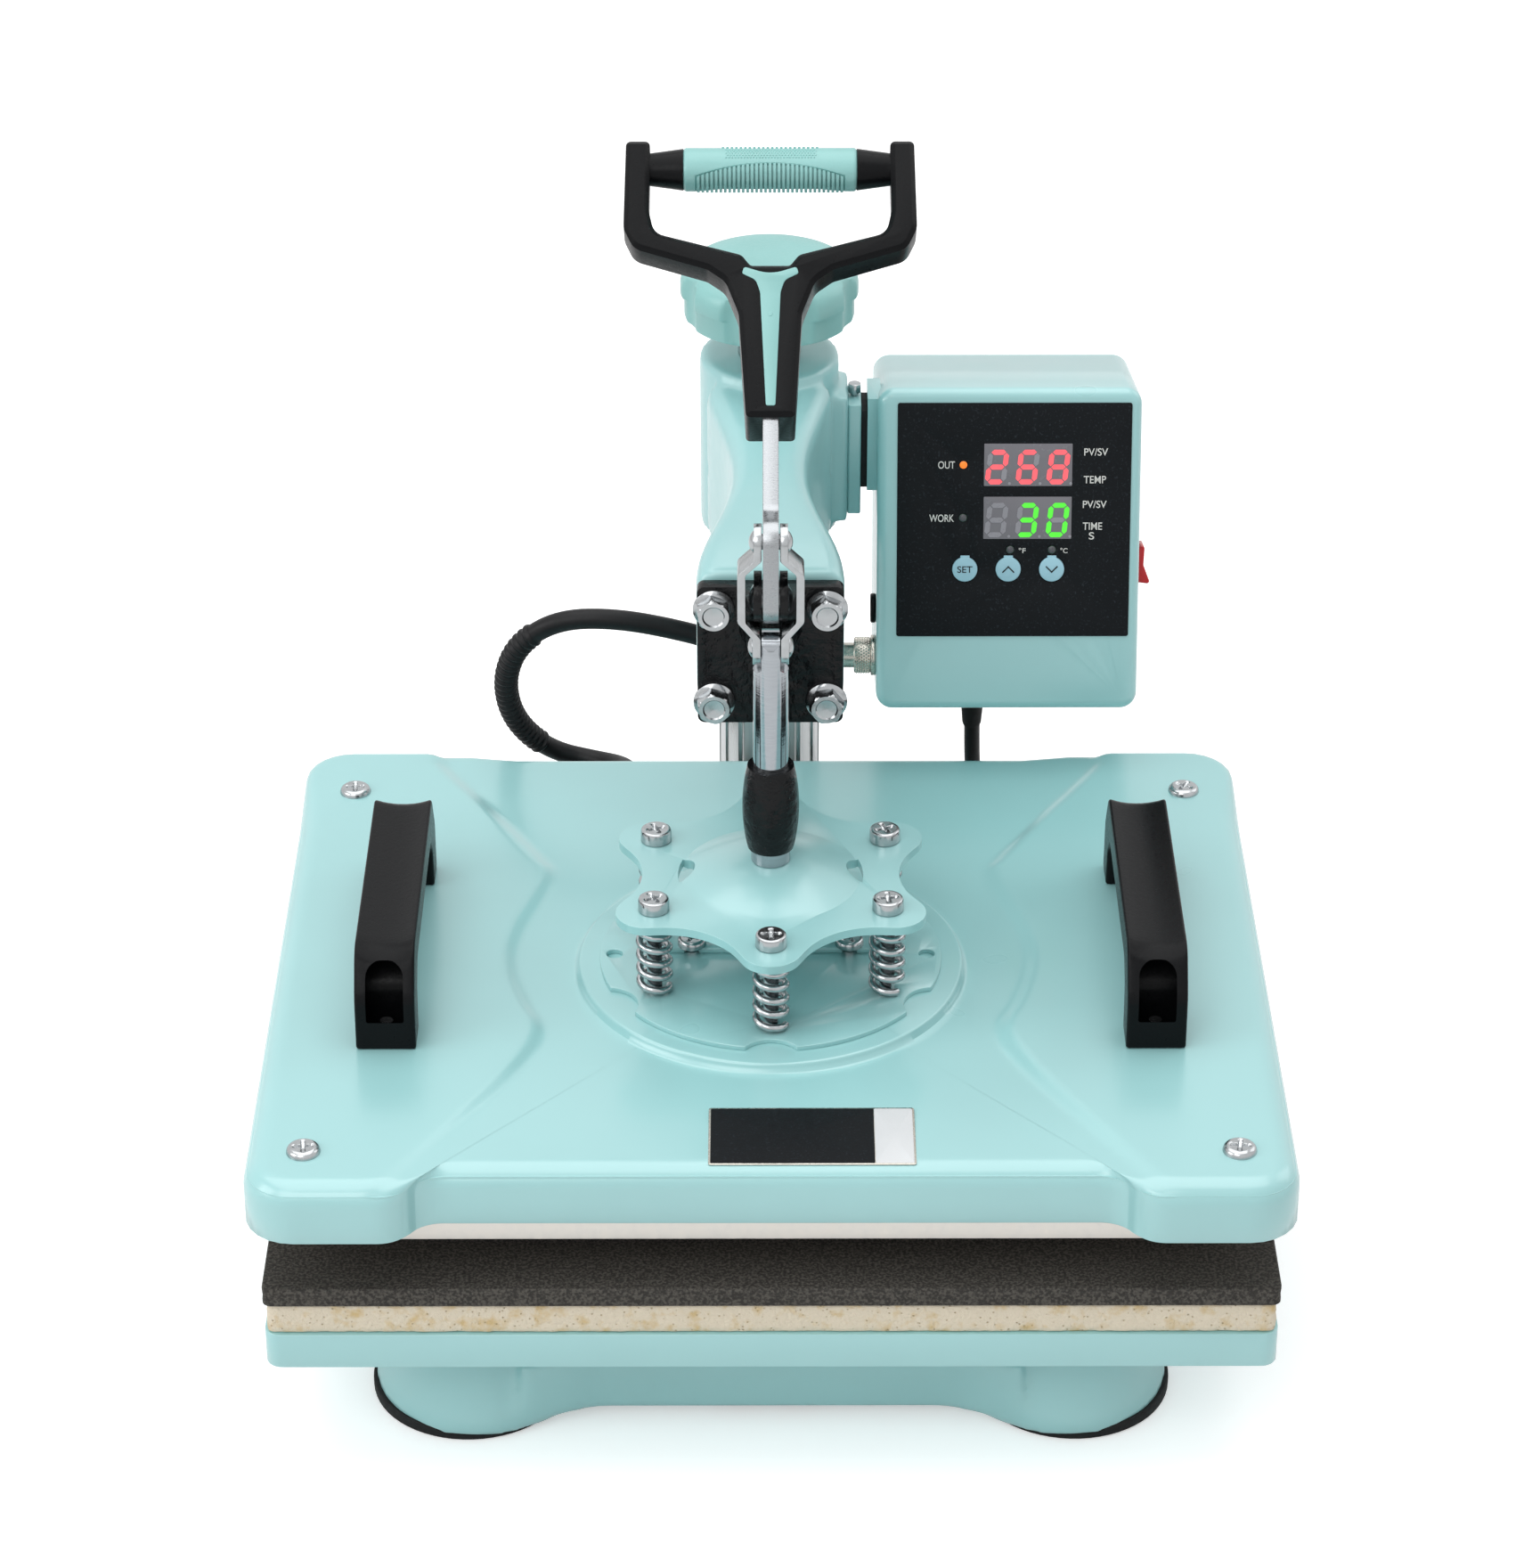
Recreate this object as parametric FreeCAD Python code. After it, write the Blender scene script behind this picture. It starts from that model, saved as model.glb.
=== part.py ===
import FreeCAD, Part
import math
import os

V = FreeCAD.Vector

# Swing-away heat press. Millimetres; +Z up, the front faces -Y, X to the right.
# The origin is on the table under the middle of the press.

# Layout
head_reach = 200.0          # plunger axis to column axis
plunger_y = -54.0           # plunger axis, in front of the middle
column_y = plunger_y + head_reach
running = 0.05              # radial clearance of shafts in their bores
slip = 0.3                  # clearance between bodies that only pass each other
screw_fit = 0.02            # radial clearance of a screw in its own thread

# Base and feet
base_behind_column = 65.0   # column axis to the back of the rear feet
base_half_depth = column_y + base_behind_column
lobe_radius = 34.5          # rear lobes
front_lobe_radius = 40.0
front_lobe_x = 114.5
front_lobe_y = plunger_y - 86.0
flare_reach = 48.0          # where the beam starts to swell into its lobe
rear_lobe_x = 95.0
rear_lobe_y = base_half_depth - lobe_radius
lobe_top = 38.0
lobe_bottom = 1.5
foot_inset = 1.3
foot_shift = 2.6            # the rubber shows past the outer side of its lobe
foot_height = 5.0
foot_boss_radius = 12.0
foot_boss_height = 8.0
beam_setback = 14.0         # beam face behind the front of the lobes
beam_depth = 28.0
base_clearance = 5.0        # underside of the beams above the table
base_top = 53.0
spine_width = 52.0
base_wall = 6.0
rear_bar_depth = 34.0
column_boss_radius = 33.0
column_boss_top = 92.0
column_floor = 12.0

# Lower platen and pads
platen_width = 380.0
platen_depth = 296.0
lower_platen_thick = 15.0
sponge_thick = 13.0
pad_thick = 8.0
pad_inset = 1.0
platen_corner = 6.0
platen_bolt_x = 11.0
platen_bolt_y = 95.0
platen_bolt_radius = 4.0
platen_bolt_reach = 9.0
platen_bolt_pocket = 9.0     # radius of the pocket for its head

# Column, bushes and spindle
column_radius = 21.5
column_bore = 16.5
column_top = 285.0
flute_count = 16
flute_radius = 1.8
flute_depth = 1.0
bush_wall = 2.4
bush_length = 20.0
bush_flange = 2.5
lower_bush_z = 60.0
washer_thick = 1.5
spindle_bottom = 45.0
spindle_head_radius = 20.0
spindle_head_thick = 6.0
guide_pin_radius = 2.0
guide_pin_offset = 10.3
guide_pin_depth = 34.0

# Sleeve, arm and knob
sleeve_radius = 28.7
sleeve_bottom = 233.0
sleeve_top = 310.0
sleeve_roof = 8.0
arm_front_y = plunger_y + 51.0
arm_front_half = 28.5
arm_front_low = 225.0
arm_front_high = 285.0
arm_waist_half = 16.5
lead_screw_radius = 6.0
lead_screw_depth = 45.0
collar_radius = 13.0
collar_height = 7.0
knob_radius = 36.5
knob_gap = 16.5             # sleeve top to knob underside
knob_height = 24.5
knob_neck = 1.6             # the lower part is this much smaller in radius
knob_lobes = 8
knob_notch_radius = 9.0
knob_notch_depth = 3.2

# Toggle base, pivots and links
pivot_z = 301.0             # lever pivot above the table, on the plunger axis
crank = 24.0                # lever pivot to upper link pivot
link_length = 44.6          # upper to lower link pivot
plate_thick = 6.0
plate_half = 28.5
plate_low = 222.0
plate_high = 282.0
bolt_x = 22.0
bolt_dz = 20.5
bolt_radius = 3.0
bolt_reach = 14.0
bolt_flange_radius = 8.15
bolt_flange_thick = 1.6
bolt_hex_flats = 12.0
bolt_head_height = 5.6
ear_inner = 3.4
ear_thick = 3.0
ear_radius = 8.0
barrel_low = 192.9
barrel_high = 228.9
barrel_mid_radius = 11.0
barrel_end_radius = 9.0
web_width = 12.0
pivot_radius = 4.0
rivet_radius = 3.0
rivet_head_radius = 5.6
rivet_head_thick = 1.9
lever_half_thick = 3.0
link_thick = 3.0
link_bow = 9.6              # inner face of the bowed part, from the middle
link_end_radius = 6.8
link_play = 0.4
link_rivet_head = 4.4

# Lever and D-handle, in the handle's own frame: along it and out of its front
handle_lean = 47.0          # from the vertical, towards the column
handle_root = 12.0          # centre line crosses the crank this far above the pivot
bar_half = 10.0
bar_length = 113.0
handle_face = 13.0          # front face, from the centre line
frame_thick = 16.0
stem_thick = 28.0
stem_start = 57.0
stem_low_half = 9.3
stem_high_half = 12.0
limb_top = 170.0
limb_outer = 56.0
limb_width = 9.2
grip_at = 161.0
grip_radius = 8.3
grip_half = 33.3
grip_end_radius = 6.2
grip_core = 4.0
inlay_depth = 1.5
frame_chamfer = 1.8

# Plunger and spider
rod_radius = 6.8
rod_collar_radius = 7.6
rod_collar_height = 5.6
shoulder_drop = 9.4         # shoulder below the lower link pivot
tongue_half = 3.5
shoulder_cut = 2.0
rod_thread_radius = 5.0
rod_end_nut = 8.5           # thread below the spider's dome
spider_low = 176.0
spider_thick = 3.6
spider_tip = 81.5
spider_valley = 44.0
spider_tip_round = 13.0
spider_valley_round = 31.0
dome_radius = 35.0
dome_height = 7.4
slot_reach = 36.0           # outer edge of the two dome holes
slot_radius = 9.5
slot_x = 39.0
slot_y = 3.0
spring_circle = 52.0
spring_count = 6
spring_outer = 7.25
spring_wire = 1.5
spring_turns = 5.0
spring_screw_radius = 3.0
spring_screw_head = 6.0
spring_screw_head_height = 5.0

# Upper platen
cover_half_width = platen_width / 2 + 5.0
cover_front = -platen_depth / 2 - 9.0       # from the plunger axis
cover_back = platen_depth / 2 + 18.0
cover_top = 140.0
cover_skirt = 24.0
cover_wall = 1.5
cover_corner = 19.0
cover_round = 9.0
front_recess = 13.0
rear_recess = 7.0
front_bevel_outer = cover_half_width - 56.0
front_bevel_inner = front_bevel_outer - 10.0
rear_bevel_outer = cover_half_width - 60.0
rear_bevel_inner = rear_bevel_outer - 19.0
bevel_round = 14.0
ring_radius = 75.5
ring_height = 1.0
disc_radius = 67.0
disc_thick = 2.0
disc_notch = 6.0
disc_notch_radius = 12.0
disc_hole_x = 61.3
disc_hole_radius = 3.2
strap_half = 42.0
strap_front = 0.0
strap_back = 22.0
strap_thick = 2.5
strap_screw_x = 31.0
strap_screw_y = 3.3
strap_screw_radius = 2.5
strap_screw_head = 5.6
heater_inset = 6.0          # inside the cover's sides
heater_half_width = cover_half_width - heater_inset
heater_front = cover_front + front_recess + 3.0
heater_back = cover_back - rear_recess - 16.0
heater_low = 107.0
heater_thick = 12.0
heater_corner = 8.0
element_radius = 4.0
element_inset = 39.0
element_half_width = heater_half_width - element_inset
element_front = heater_front + element_inset + 2.0
element_back = heater_back - element_inset - 4.0
insulation_gap = 0.8
insulation_thick = 6.0
insulation_inset = 6.0
corner_screw_x = cover_half_width - 22.0
corner_screw_y = platen_depth / 2 - 16.5
corner_screw_radius = 2.5
corner_screw_head = 6.4
corner_screw_reach = 15.0
corner_boss_radius = 6.0
side_handle_x = cover_half_width - 48.0
side_handle_width = 23.0
side_handle_front = -64.0
side_handle_back = 72.0
side_handle_height = 39.0
side_handle_bar = 13.0
side_handle_leg = 16.0
side_recess_depth = 12.0
side_recess_half = 8.5
side_recess_low = 12.0
side_screw_radius = 2.5
gland_x = -59.0
gland_drop = 16.5           # below the cover's top
gland_radius = 7.0
gland_length = 6.0
gland_collar = 3.0

# Bracket between the sleeve and the control box
bracket_x = 32.5
bracket_thick = 5.5
bracket_low = 240.0
bracket_high = 290.0
bracket_half = 10.0
bracket_screw_radius = 2.5
bracket_screw_depth = 8.0
gasket_thick = 2.6
gasket_low = 252.0
gasket_high = 287.0
flange_thick = 3.9
flange_low = 251.0
flange_high = 293.0

# Control box, in its own frame: across, up the panel and out of the panel
box_width = 109.0
box_x = bracket_x + bracket_thick + gasket_thick + flange_thick + box_width / 2
box_front_y = column_y - 50.0               # lower front edge
box_front_z = 168.5
box_tilt = 15.0
box_height = 136.0
box_depth = 80.0
box_wall = 1.6
box_corner = 7.0
box_round = 4.0
back_thick = 2.0
box_screw_inset = 9.0
box_screw_radius = 1.7
panel_x = 2.0
panel_width = 96.5
panel_low = 31.7
panel_height = 98.5
panel_thick = 0.6
display_x = 7.7
display_width = 37.6
display_height = 19.0
red_y = 104.3
green_y = 82.0
button_y = 60.3
button_pitch = 18.0
button_radius = 5.2
button_proud = 1.2
button_gap = 0.1
button_travel = 0.8
board_depth = 12.4          # front of the board behind the panel
board_thick = 1.6
lamp_radius = 1.6
rocker_y = 53.0
rocker_depth = 40.0         # behind the panel
rocker_length = 19.0
rocker_width = 13.0
rocker_frame = 2.4
rocker_pin_radius = 1.5
rocker_tip = 7.6
rocker_rest_tilt = 9.0
fuse_y = 40.0
fuse_depth = 16.0
fuse_radius = 6.2
transformer_size = 40.0
transformer_x = 17.0
transformer_depth = 30.0
relay_size = 18.0

# Cables
cable_radius = 4.3
plug_y = column_y - 30.0
plug_z = box_front_z + 15.2
plug_body_radius = 5.25
plug_ring_radius = 7.35
plug_ring_length = 7.0
plug_body_length = 8.0
plug_flange_radius = 8.5
plug_flange_thick = 2.0
plug_boot_length = 6.0
cord_radius = 3.4
cord_x = box_x - 11.0
cord_y = column_y + 14.0
cord_gland_radius = 6.0
cord_gland_drop = 7.0
cord_corner_x = cord_x + 6.0                # last corner of the cord's route before the coil
cord_corner_y = base_half_depth + 61.0
cord_last_run = 44.0
cord_stub = 24.0            # cord inside the box, covers the height adjustment
coil_radius = 40.8          # mid-turn radius
coil_wide = 3
coil_high = 2
coil_lead = 28.0
coil_gap = 4.0              # coil behind the rear bar of the base
plug_turn = 45.0            # the plug's direction, from the left towards the front
plug_length = 34.0
plug_width = 24.0
blade_length = 16.0


# Shapes


def box(x0, x1, y0, y1, z0, z1):
    return Part.makeBox(x1 - x0, y1 - y0, z1 - z0, V(x0, y0, z0))


def rod(radius, z0, z1, x=0.0, y=0.0):
    return Part.makeCylinder(radius, z1 - z0, V(x, y, z0))


def bar(radius, start, end):
    """Round bar between two points."""
    run = end - start
    return Part.makeCylinder(radius, run.Length, start, run)


def along_x(radius, x0, x1, y, z):
    return bar(radius, V(x0, y, z), V(x1, y, z))


def along_y(radius, x, y0, y1, z):
    return bar(radius, V(x, y0, z), V(x, y1, z))


def join(shapes):
    whole = shapes[0]
    if len(shapes) > 1:
        whole = whole.multiFuse(shapes[1:])
    return whole.removeSplitter()


def cut(shape, tools):
    for tool in tools:
        shape = shape.cut(tool)
    return shape


def mirrored(shape):
    """The shape and its twin on the other side of the middle."""
    return [shape, shape.mirror(V(0, 0, 0), V(1, 0, 0))]


def placed(shape, origin, rotation):
    """A copy of the shape, turned and then moved to the origin given."""
    moved = shape.copy()
    moved.Placement = FreeCAD.Placement(origin, rotation).multiply(moved.Placement)
    return moved


def corner_rounds(corners):
    """Tangent points and middle of each rounded corner (x, y, radius)."""
    rounds = []
    for i, (x, y, radius) in enumerate(corners):
        here = V(x, y, 0)
        before = V(corners[i - 1][0], corners[i - 1][1], 0) - here
        after = V(corners[(i + 1) % len(corners)][0], corners[(i + 1) % len(corners)][1], 0) - here
        half = before.getAngle(after) / 2
        back = min(radius / math.tan(half), 0.48 * before.Length, 0.48 * after.Length)
        before.normalize()
        after.normalize()
        across = before + after
        if radius <= 0 or across.Length < 1e-6:
            rounds.append((here, here, here))
            continue
        across.normalize()
        size = back * math.tan(half)
        middle = here + across * (size / math.sin(half) - size)
        rounds.append((here + before * back, middle, here + after * back))
    return rounds


def outline(corners):
    """Closed flat wire through corners (x, y, radius), each corner rounded."""
    rounds = corner_rounds(corners)
    edges = []
    for i, (start, middle, end) in enumerate(rounds):
        following = rounds[(i + 1) % len(rounds)][0]
        if start.distanceToPoint(end) > 1e-6:
            edges.append(Part.Arc(start, middle, end).toShape())
        if end.distanceToPoint(following) > 1e-6:
            edges.append(Part.LineSegment(end, following).toShape())
    return Part.Wire(edges)


def prism(corners, z0, z1):
    """Flat outline with rounded corners, extruded upwards."""
    face = Part.Face(outline(corners))
    solid = face.extrude(V(0, 0, z1 - z0))
    solid.translate(V(0, 0, z0))
    return solid


def side_prism(corners, x0, x1):
    """Outline of (y, z, radius) corners, extruded along X."""
    return placed(prism(corners, x0, x1), V(0, 0, 0), FreeCAD.Rotation(V(1, 1, 1), 120))


def front_prism(corners, y0, y1):
    """Outline of (x, z, radius) corners, extruded along Y."""
    return placed(prism(corners, -y1, -y0), V(0, 0, 0), FreeCAD.Rotation(V(1, 0, 0), 90))


def rectangle(x0, x1, y0, y1, radius):
    return [(x0, y0, radius), (x1, y0, radius), (x1, y1, radius), (x0, y1, radius)]


def turned(corners, x, y):
    """Solid of revolution about an upright axis, from (radius, z, round) corners."""
    wire = outline(corners)
    wire.rotate(V(0, 0, 0), V(1, 0, 0), 90)
    solid = Part.Face(wire).revolve(V(0, 0, 0), V(0, 0, 1), 360)
    solid.translate(V(x, y, 0))
    return Part.Solid(solid) if solid.ShapeType == "Shell" else solid


def hexagon(flats, z0, z1, x=0.0, y=0.0):
    reach = flats / math.sqrt(3)
    points = [(x + reach * math.cos(math.radians(60 * i)), y + reach * math.sin(math.radians(60 * i)), 0)
              for i in range(6)]
    return prism(points, z0, z1)


def dome(radius, height, z):
    """Low spherical head standing on the plane z."""
    ball = (radius * radius + height * height) / (2 * height)
    cap = Part.makeSphere(ball, V(0, 0, z + height - ball))
    return cap.common(rod(radius + 1, z, z + height + 1))


def cross_recess(size, depth, z):
    """Cutter for a cross-head screw, from its top face z downwards."""
    arm = size * 0.16
    blades = [box(-size / 2, size / 2, -arm, arm, z - depth, z + 1),
              box(-arm, arm, -size / 2, size / 2, z - depth, z + 1)]
    return join(blades)


def leaning(shape, origin, lean):
    """Put a shape made across, along and outwards into its leaning frame."""
    return placed(shape, origin, FreeCAD.Rotation(V(1, 0, 0), 90 - lean))


def on_handle(shape):
    return leaning(shape, V(0, plunger_y, pivot_z + handle_root), handle_lean)


def on_box(shape):
    return leaning(shape, V(box_x, box_front_y, box_front_z), box_tilt)


def tube(points, radius):
    """Round tube along straight runs joined by tangent arcs."""
    edges = []
    radii = []
    last = points[0]
    for before, here, after in zip(points, points[1:], points[2:]):
        incoming = here - before
        outgoing = after - here
        turn = incoming.getAngle(outgoing)
        back = 0.45 * min(incoming.Length, outgoing.Length)
        incoming.normalize()
        outgoing.normalize()
        start = here - incoming * back
        end = here + outgoing * back
        inward = outgoing - incoming
        inward.normalize()
        size = back / math.tan(turn / 2)
        middle = here + inward * (size / math.cos(turn / 2) - size)
        edges.append(Part.LineSegment(last, start).toShape())
        edges.append(Part.Arc(start, middle, end).toShape())
        radii.append(round(size, 1))
        last = end
    edges.append(Part.LineSegment(last, points[-1]).toShape())
    path = Part.Wire(edges)
    section = Part.Wire(Part.makeCircle(radius, points[0], points[1] - points[0]))
    solid = path.makePipeShell([section], True, False)
    length = path.Length
    expected = math.pi * radius * radius * length
    print("tube length", round(length, 1), "radii", radii, "volume ratio", round(solid.Volume / expected, 4))
    return solid


# Levels worked out from the sizes above

platen_low = base_top
platen_high = platen_low + lower_platen_thick
sponge_high = platen_high + sponge_thick
pad_high = sponge_high + pad_thick
ring_top = cover_top + ring_height
disc_top = ring_top + disc_thick
spider_high = spider_low + spider_thick
dome_top = spider_high + dome_height
plate_back = arm_front_y
plate_front = arm_front_y - plate_thick
plate_mid = (plate_low + plate_high) / 2
lower_pivot_z = pivot_z + crank - link_length
upper_pivot_z = pivot_z + crank
washer_low = column_top + bush_flange
washer_high = washer_low + washer_thick
spindle_top = washer_high + spindle_head_thick
spindle_radius = column_bore - bush_wall
collar_top = sleeve_top + collar_height
knob_low = sleeve_top + knob_gap
knob_top = knob_low + knob_height
heater_high = heater_low + heater_thick
element_z = heater_high + element_radius
insulation_low = element_z + element_radius + insulation_gap
insulation_high = insulation_low + insulation_thick
cover_low = cover_top - cover_skirt
cover_inside = cover_top - cover_wall
gland_z = cover_top - gland_drop
gland_face = plunger_y + cover_back - rear_recess
box_left = box_x - box_width / 2
box_inside = box_depth - back_thick


# Base


def lobe_solid(x, y, r):
    profile = [(0, lobe_bottom, 0), (r, lobe_bottom, 0), (r, lobe_bottom + 7, 5), (r - 6, lobe_top * 0.6, 9),
               (r - 13, lobe_top, 4), (0, lobe_top, 0)]
    return turned(profile, x, y)


def foot_places():
    return [(-front_lobe_x, front_lobe_y, front_lobe_radius), (front_lobe_x, front_lobe_y, front_lobe_radius),
            (-rear_lobe_x, rear_lobe_y, lobe_radius), (rear_lobe_x, rear_lobe_y, lobe_radius)]


def foot_solid(x, y, r, grow):
    outward = foot_shift if x > 0 else -foot_shift
    disc = rod(r - foot_inset + grow, -grow, foot_height + grow, x + outward, y)
    boss = rod(foot_boss_radius + grow, foot_height, foot_height + foot_boss_height + grow, x, y)
    return join([disc, boss])


def rubber_feet():
    return Part.makeCompound([foot_solid(x, y, r, 0.0) for x, y, r in foot_places()])


def platen_bolt_places():
    return [(sx * platen_bolt_x, plunger_y + sy * platen_bolt_y) for sx in (-1, 1) for sy in (-1, 1)]


def base_casting():
    beam_front = front_lobe_y - front_lobe_radius + beam_setback
    beam_back = beam_front + beam_depth
    bar_y = rear_lobe_y
    half_bar = rear_bar_depth / 2
    half_spine = spine_width / 2
    beam = prism(rectangle(-front_lobe_x, front_lobe_x, beam_front, beam_back, 3), base_clearance, base_top)
    rear = prism(rectangle(-rear_lobe_x, rear_lobe_x, bar_y - half_bar, bar_y + half_bar, 3),
                 base_clearance, lobe_top + 6)
    spine = box(-half_spine, half_spine, beam_back - 2, column_y, base_clearance, base_top)
    boss = rod(column_boss_radius, base_clearance, column_boss_top, 0, column_y)
    web_reach = column_boss_radius + 24
    web = side_prism([(column_y, base_clearance, 0), (bar_y + 2, base_clearance, 0), (bar_y + 2, lobe_top, 0),
                      (column_y, column_boss_top - 8, 0)], -base_wall, base_wall)
    flank = front_prism([(-web_reach, base_clearance, 0), (web_reach, base_clearance, 0),
                         (web_reach, lobe_top, 0), (column_boss_radius, column_boss_top - 12, 0),
                         (-column_boss_radius, column_boss_top - 12, 0), (-web_reach, lobe_top, 0)],
                        bar_y - half_bar, bar_y - half_bar + base_wall)
    lobes = [lobe_solid(x, y, r) for x, y, r in foot_places()]
    swell = front_lobe_radius * 0.9
    flare_low = front_lobe_x - flare_reach
    flare_high = front_lobe_x - swell / 2
    flare = prism([(flare_low, beam_front, 0), (flare_high, front_lobe_y - swell, 0),
                   (flare_high, beam_front + 8, 0), (flare_low, beam_front + 8, 0)],
                  base_clearance, lobe_top - 6)
    solid = join([beam, rear, spine, boss, web, flank] + mirrored(flare) + lobes)
    hollow = box(-half_spine + base_wall, half_spine - base_wall, beam_back + base_wall,
                 column_y - column_boss_radius - base_wall, 0, base_top - base_wall)
    tools = [hollow, rod(column_radius + running, column_floor, column_boss_top + 1, 0, column_y)]
    tools += [foot_solid(x, y, r, screw_fit) for x, y, r in foot_places()]
    tools += [rod(platen_bolt_radius + slip, 0, base_top + 1, x, y) for x, y in platen_bolt_places()]
    tools += [rod(platen_bolt_pocket, 0, base_top - base_wall, x, y) for x, y in platen_bolt_places()]
    return cut(solid, tools)


def lower_platen():
    half = platen_width / 2
    plate = prism(rectangle(-half, half, plunger_y - platen_depth / 2, plunger_y + platen_depth / 2,
                            platen_corner), platen_low, platen_high)
    holes = [rod(platen_bolt_radius + screw_fit, platen_low - 1, platen_low + platen_bolt_reach, x, y)
             for x, y in platen_bolt_places()]
    return cut(plate, holes)


def platen_bolts():
    seat = base_top - base_wall
    bolts = []
    for x, y in platen_bolt_places():
        shank = rod(platen_bolt_radius, seat, platen_low + platen_bolt_reach, x, y)
        head = hexagon(platen_bolt_radius * 3.2, seat - platen_bolt_radius * 1.4, seat, x, y)
        bolts.append(join([shank, head]))
    return Part.makeCompound(bolts)


def sponge_pad():
    half = platen_width / 2 - pad_inset
    deep = platen_depth / 2 - pad_inset
    return prism(rectangle(-half, half, plunger_y - deep, plunger_y + deep, platen_corner),
                 platen_high, sponge_high)


def silicone_pad():
    half = platen_width / 2
    deep = platen_depth / 2
    return prism(rectangle(-half, half, plunger_y - deep, plunger_y + deep, platen_corner),
                 sponge_high, pad_high)


# Column and spindle


def column_tube():
    tube_body = rod(column_radius, column_floor, column_top, 0, column_y)
    tools = [rod(column_bore, column_floor - 1, column_top + 1, 0, column_y)]
    reach = column_radius + flute_radius - flute_depth
    for i in range(flute_count):
        angle = math.radians((i + 0.5) * 360 / flute_count)
        tools.append(rod(flute_radius, column_floor - 1, column_top + 1,
                         reach * math.cos(angle), column_y + reach * math.sin(angle)))
    return cut(tube_body, tools)


def column_bushes():
    """Lower bush, flanged upper bush and the thrust washer on it."""
    hole = spindle_radius + running
    press = column_bore - screw_fit
    lower = rod(press, lower_bush_z, lower_bush_z + bush_length, 0, column_y)
    upper = join([rod(press, column_top - bush_length, column_top, 0, column_y),
                  rod(column_radius - 0.5, column_top, washer_low, 0, column_y)])
    washer = rod(column_radius - 1, washer_low, washer_high, 0, column_y)
    bore = rod(hole, 0, washer_high + 1, 0, column_y)
    return Part.makeCompound([lower.cut(bore), upper.cut(bore), washer.cut(bore)])


def guide_pin():
    return rod(guide_pin_radius, spindle_top - guide_pin_depth + 6, sleeve_top - 2, 0,
               column_y + guide_pin_offset)


def spindle():
    """Steel spindle with its head on the washer, bored for the lead screw and the guide pin."""
    shaft = rod(spindle_radius, spindle_bottom, spindle_top, 0, column_y)
    head = rod(spindle_head_radius, washer_high, spindle_top, 0, column_y)
    thread_low = spindle_top - lead_screw_depth - 20
    thread = rod(lead_screw_radius + running, thread_low, spindle_top + 1, 0, column_y)
    key = rod(guide_pin_radius + running, spindle_top - guide_pin_depth, spindle_top + 1, 0,
              column_y + guide_pin_offset)
    return cut(join([shaft, head]), [thread, key])


def lead_screw():
    """Screw with its shoulder collar, turned by the knob."""
    shaft = rod(lead_screw_radius, spindle_top - lead_screw_depth, knob_low + knob_height * 0.6, 0, column_y)
    collar = rod(collar_radius, sleeve_top + slip, collar_top, 0, column_y)
    return join([shaft, collar])


def pressure_knob():
    neck = knob_radius - knob_neck
    body = turned([(0, knob_low, 0), (neck, knob_low, 3), (neck, knob_low + 10, 1),
                   (knob_radius, knob_low + 12, 2), (knob_radius, knob_top - 6, 7),
                   (knob_radius * 0.55, knob_top, 30), (0, knob_top, 0)], 0, column_y)
    reach = knob_radius + knob_notch_radius - knob_notch_depth
    tools = [rod(lead_screw_radius + screw_fit, knob_low - 1, knob_low + knob_height * 0.6, 0, column_y)]
    for i in range(knob_lobes):
        angle = math.radians((i + 0.5) * 360 / knob_lobes)
        tools.append(rod(knob_notch_radius, knob_low - 1, knob_top + 1,
                         reach * math.cos(angle), column_y + reach * math.sin(angle)))
    hub = rod(lead_screw_radius + 5, collar_top + slip, knob_low, 0, column_y)
    hub = hub.cut(rod(lead_screw_radius + screw_fit, collar_top, knob_low + 1, 0, column_y))
    return join([cut(body, tools), hub])


# Arm


def arm_section(y, half, low, high, radius):
    wire = outline(rectangle(-half, half, low, high, radius))
    wire.rotate(V(0, 0, 0), V(1, 0, 0), 90)
    wire.translate(V(0, y, 0))
    return wire


def arm_casting():
    waist = arm_waist_half
    lift = (sleeve_top - 4 - arm_front_high) / 4
    rise = (sleeve_bottom - arm_front_low) / 4
    span = column_y - arm_front_y
    shares = [0.0, 0.16, 0.4, 0.64, 0.86]
    halves = [arm_front_half, arm_front_half - 2.5, waist, waist + 1.5, sleeve_radius - 3]
    sections = [arm_section(arm_front_y + span * share, half, arm_front_low + rise * i,
                            arm_front_high + lift * i, 8)
                for i, (share, half) in enumerate(zip(shares, halves))]
    arm = Part.makeLoft(sections, True, False)
    sleeve = rod(sleeve_radius, sleeve_bottom, sleeve_top, 0, column_y)
    pad = prism(rectangle(sleeve_radius * 0.6, bracket_x, column_y - bracket_half - 4,
                          column_y + bracket_half + 4, 2), bracket_low - 2, bracket_high + 5)
    solid = join([arm, sleeve, pad])
    tools = [rod(column_radius + slip, sleeve_bottom - 9, sleeve_top - sleeve_roof, 0, column_y),
             rod(lead_screw_radius + running, sleeve_top - sleeve_roof - 1, sleeve_top + 1, 0, column_y)]
    for x, z in bolt_places():
        tools.append(along_y(bolt_radius + screw_fit, x, arm_front_y - 1, arm_front_y + bolt_reach, z))
    for z in bracket_screw_levels():
        tools.append(along_x(bracket_screw_radius + screw_fit, bracket_x - bracket_screw_depth - 1,
                             bracket_x + 1, column_y, z))
    return join([cut(solid, tools), guide_pin()])


def bracket_screw_levels():
    return [gasket_low + 7, gasket_high - 7]


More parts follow.
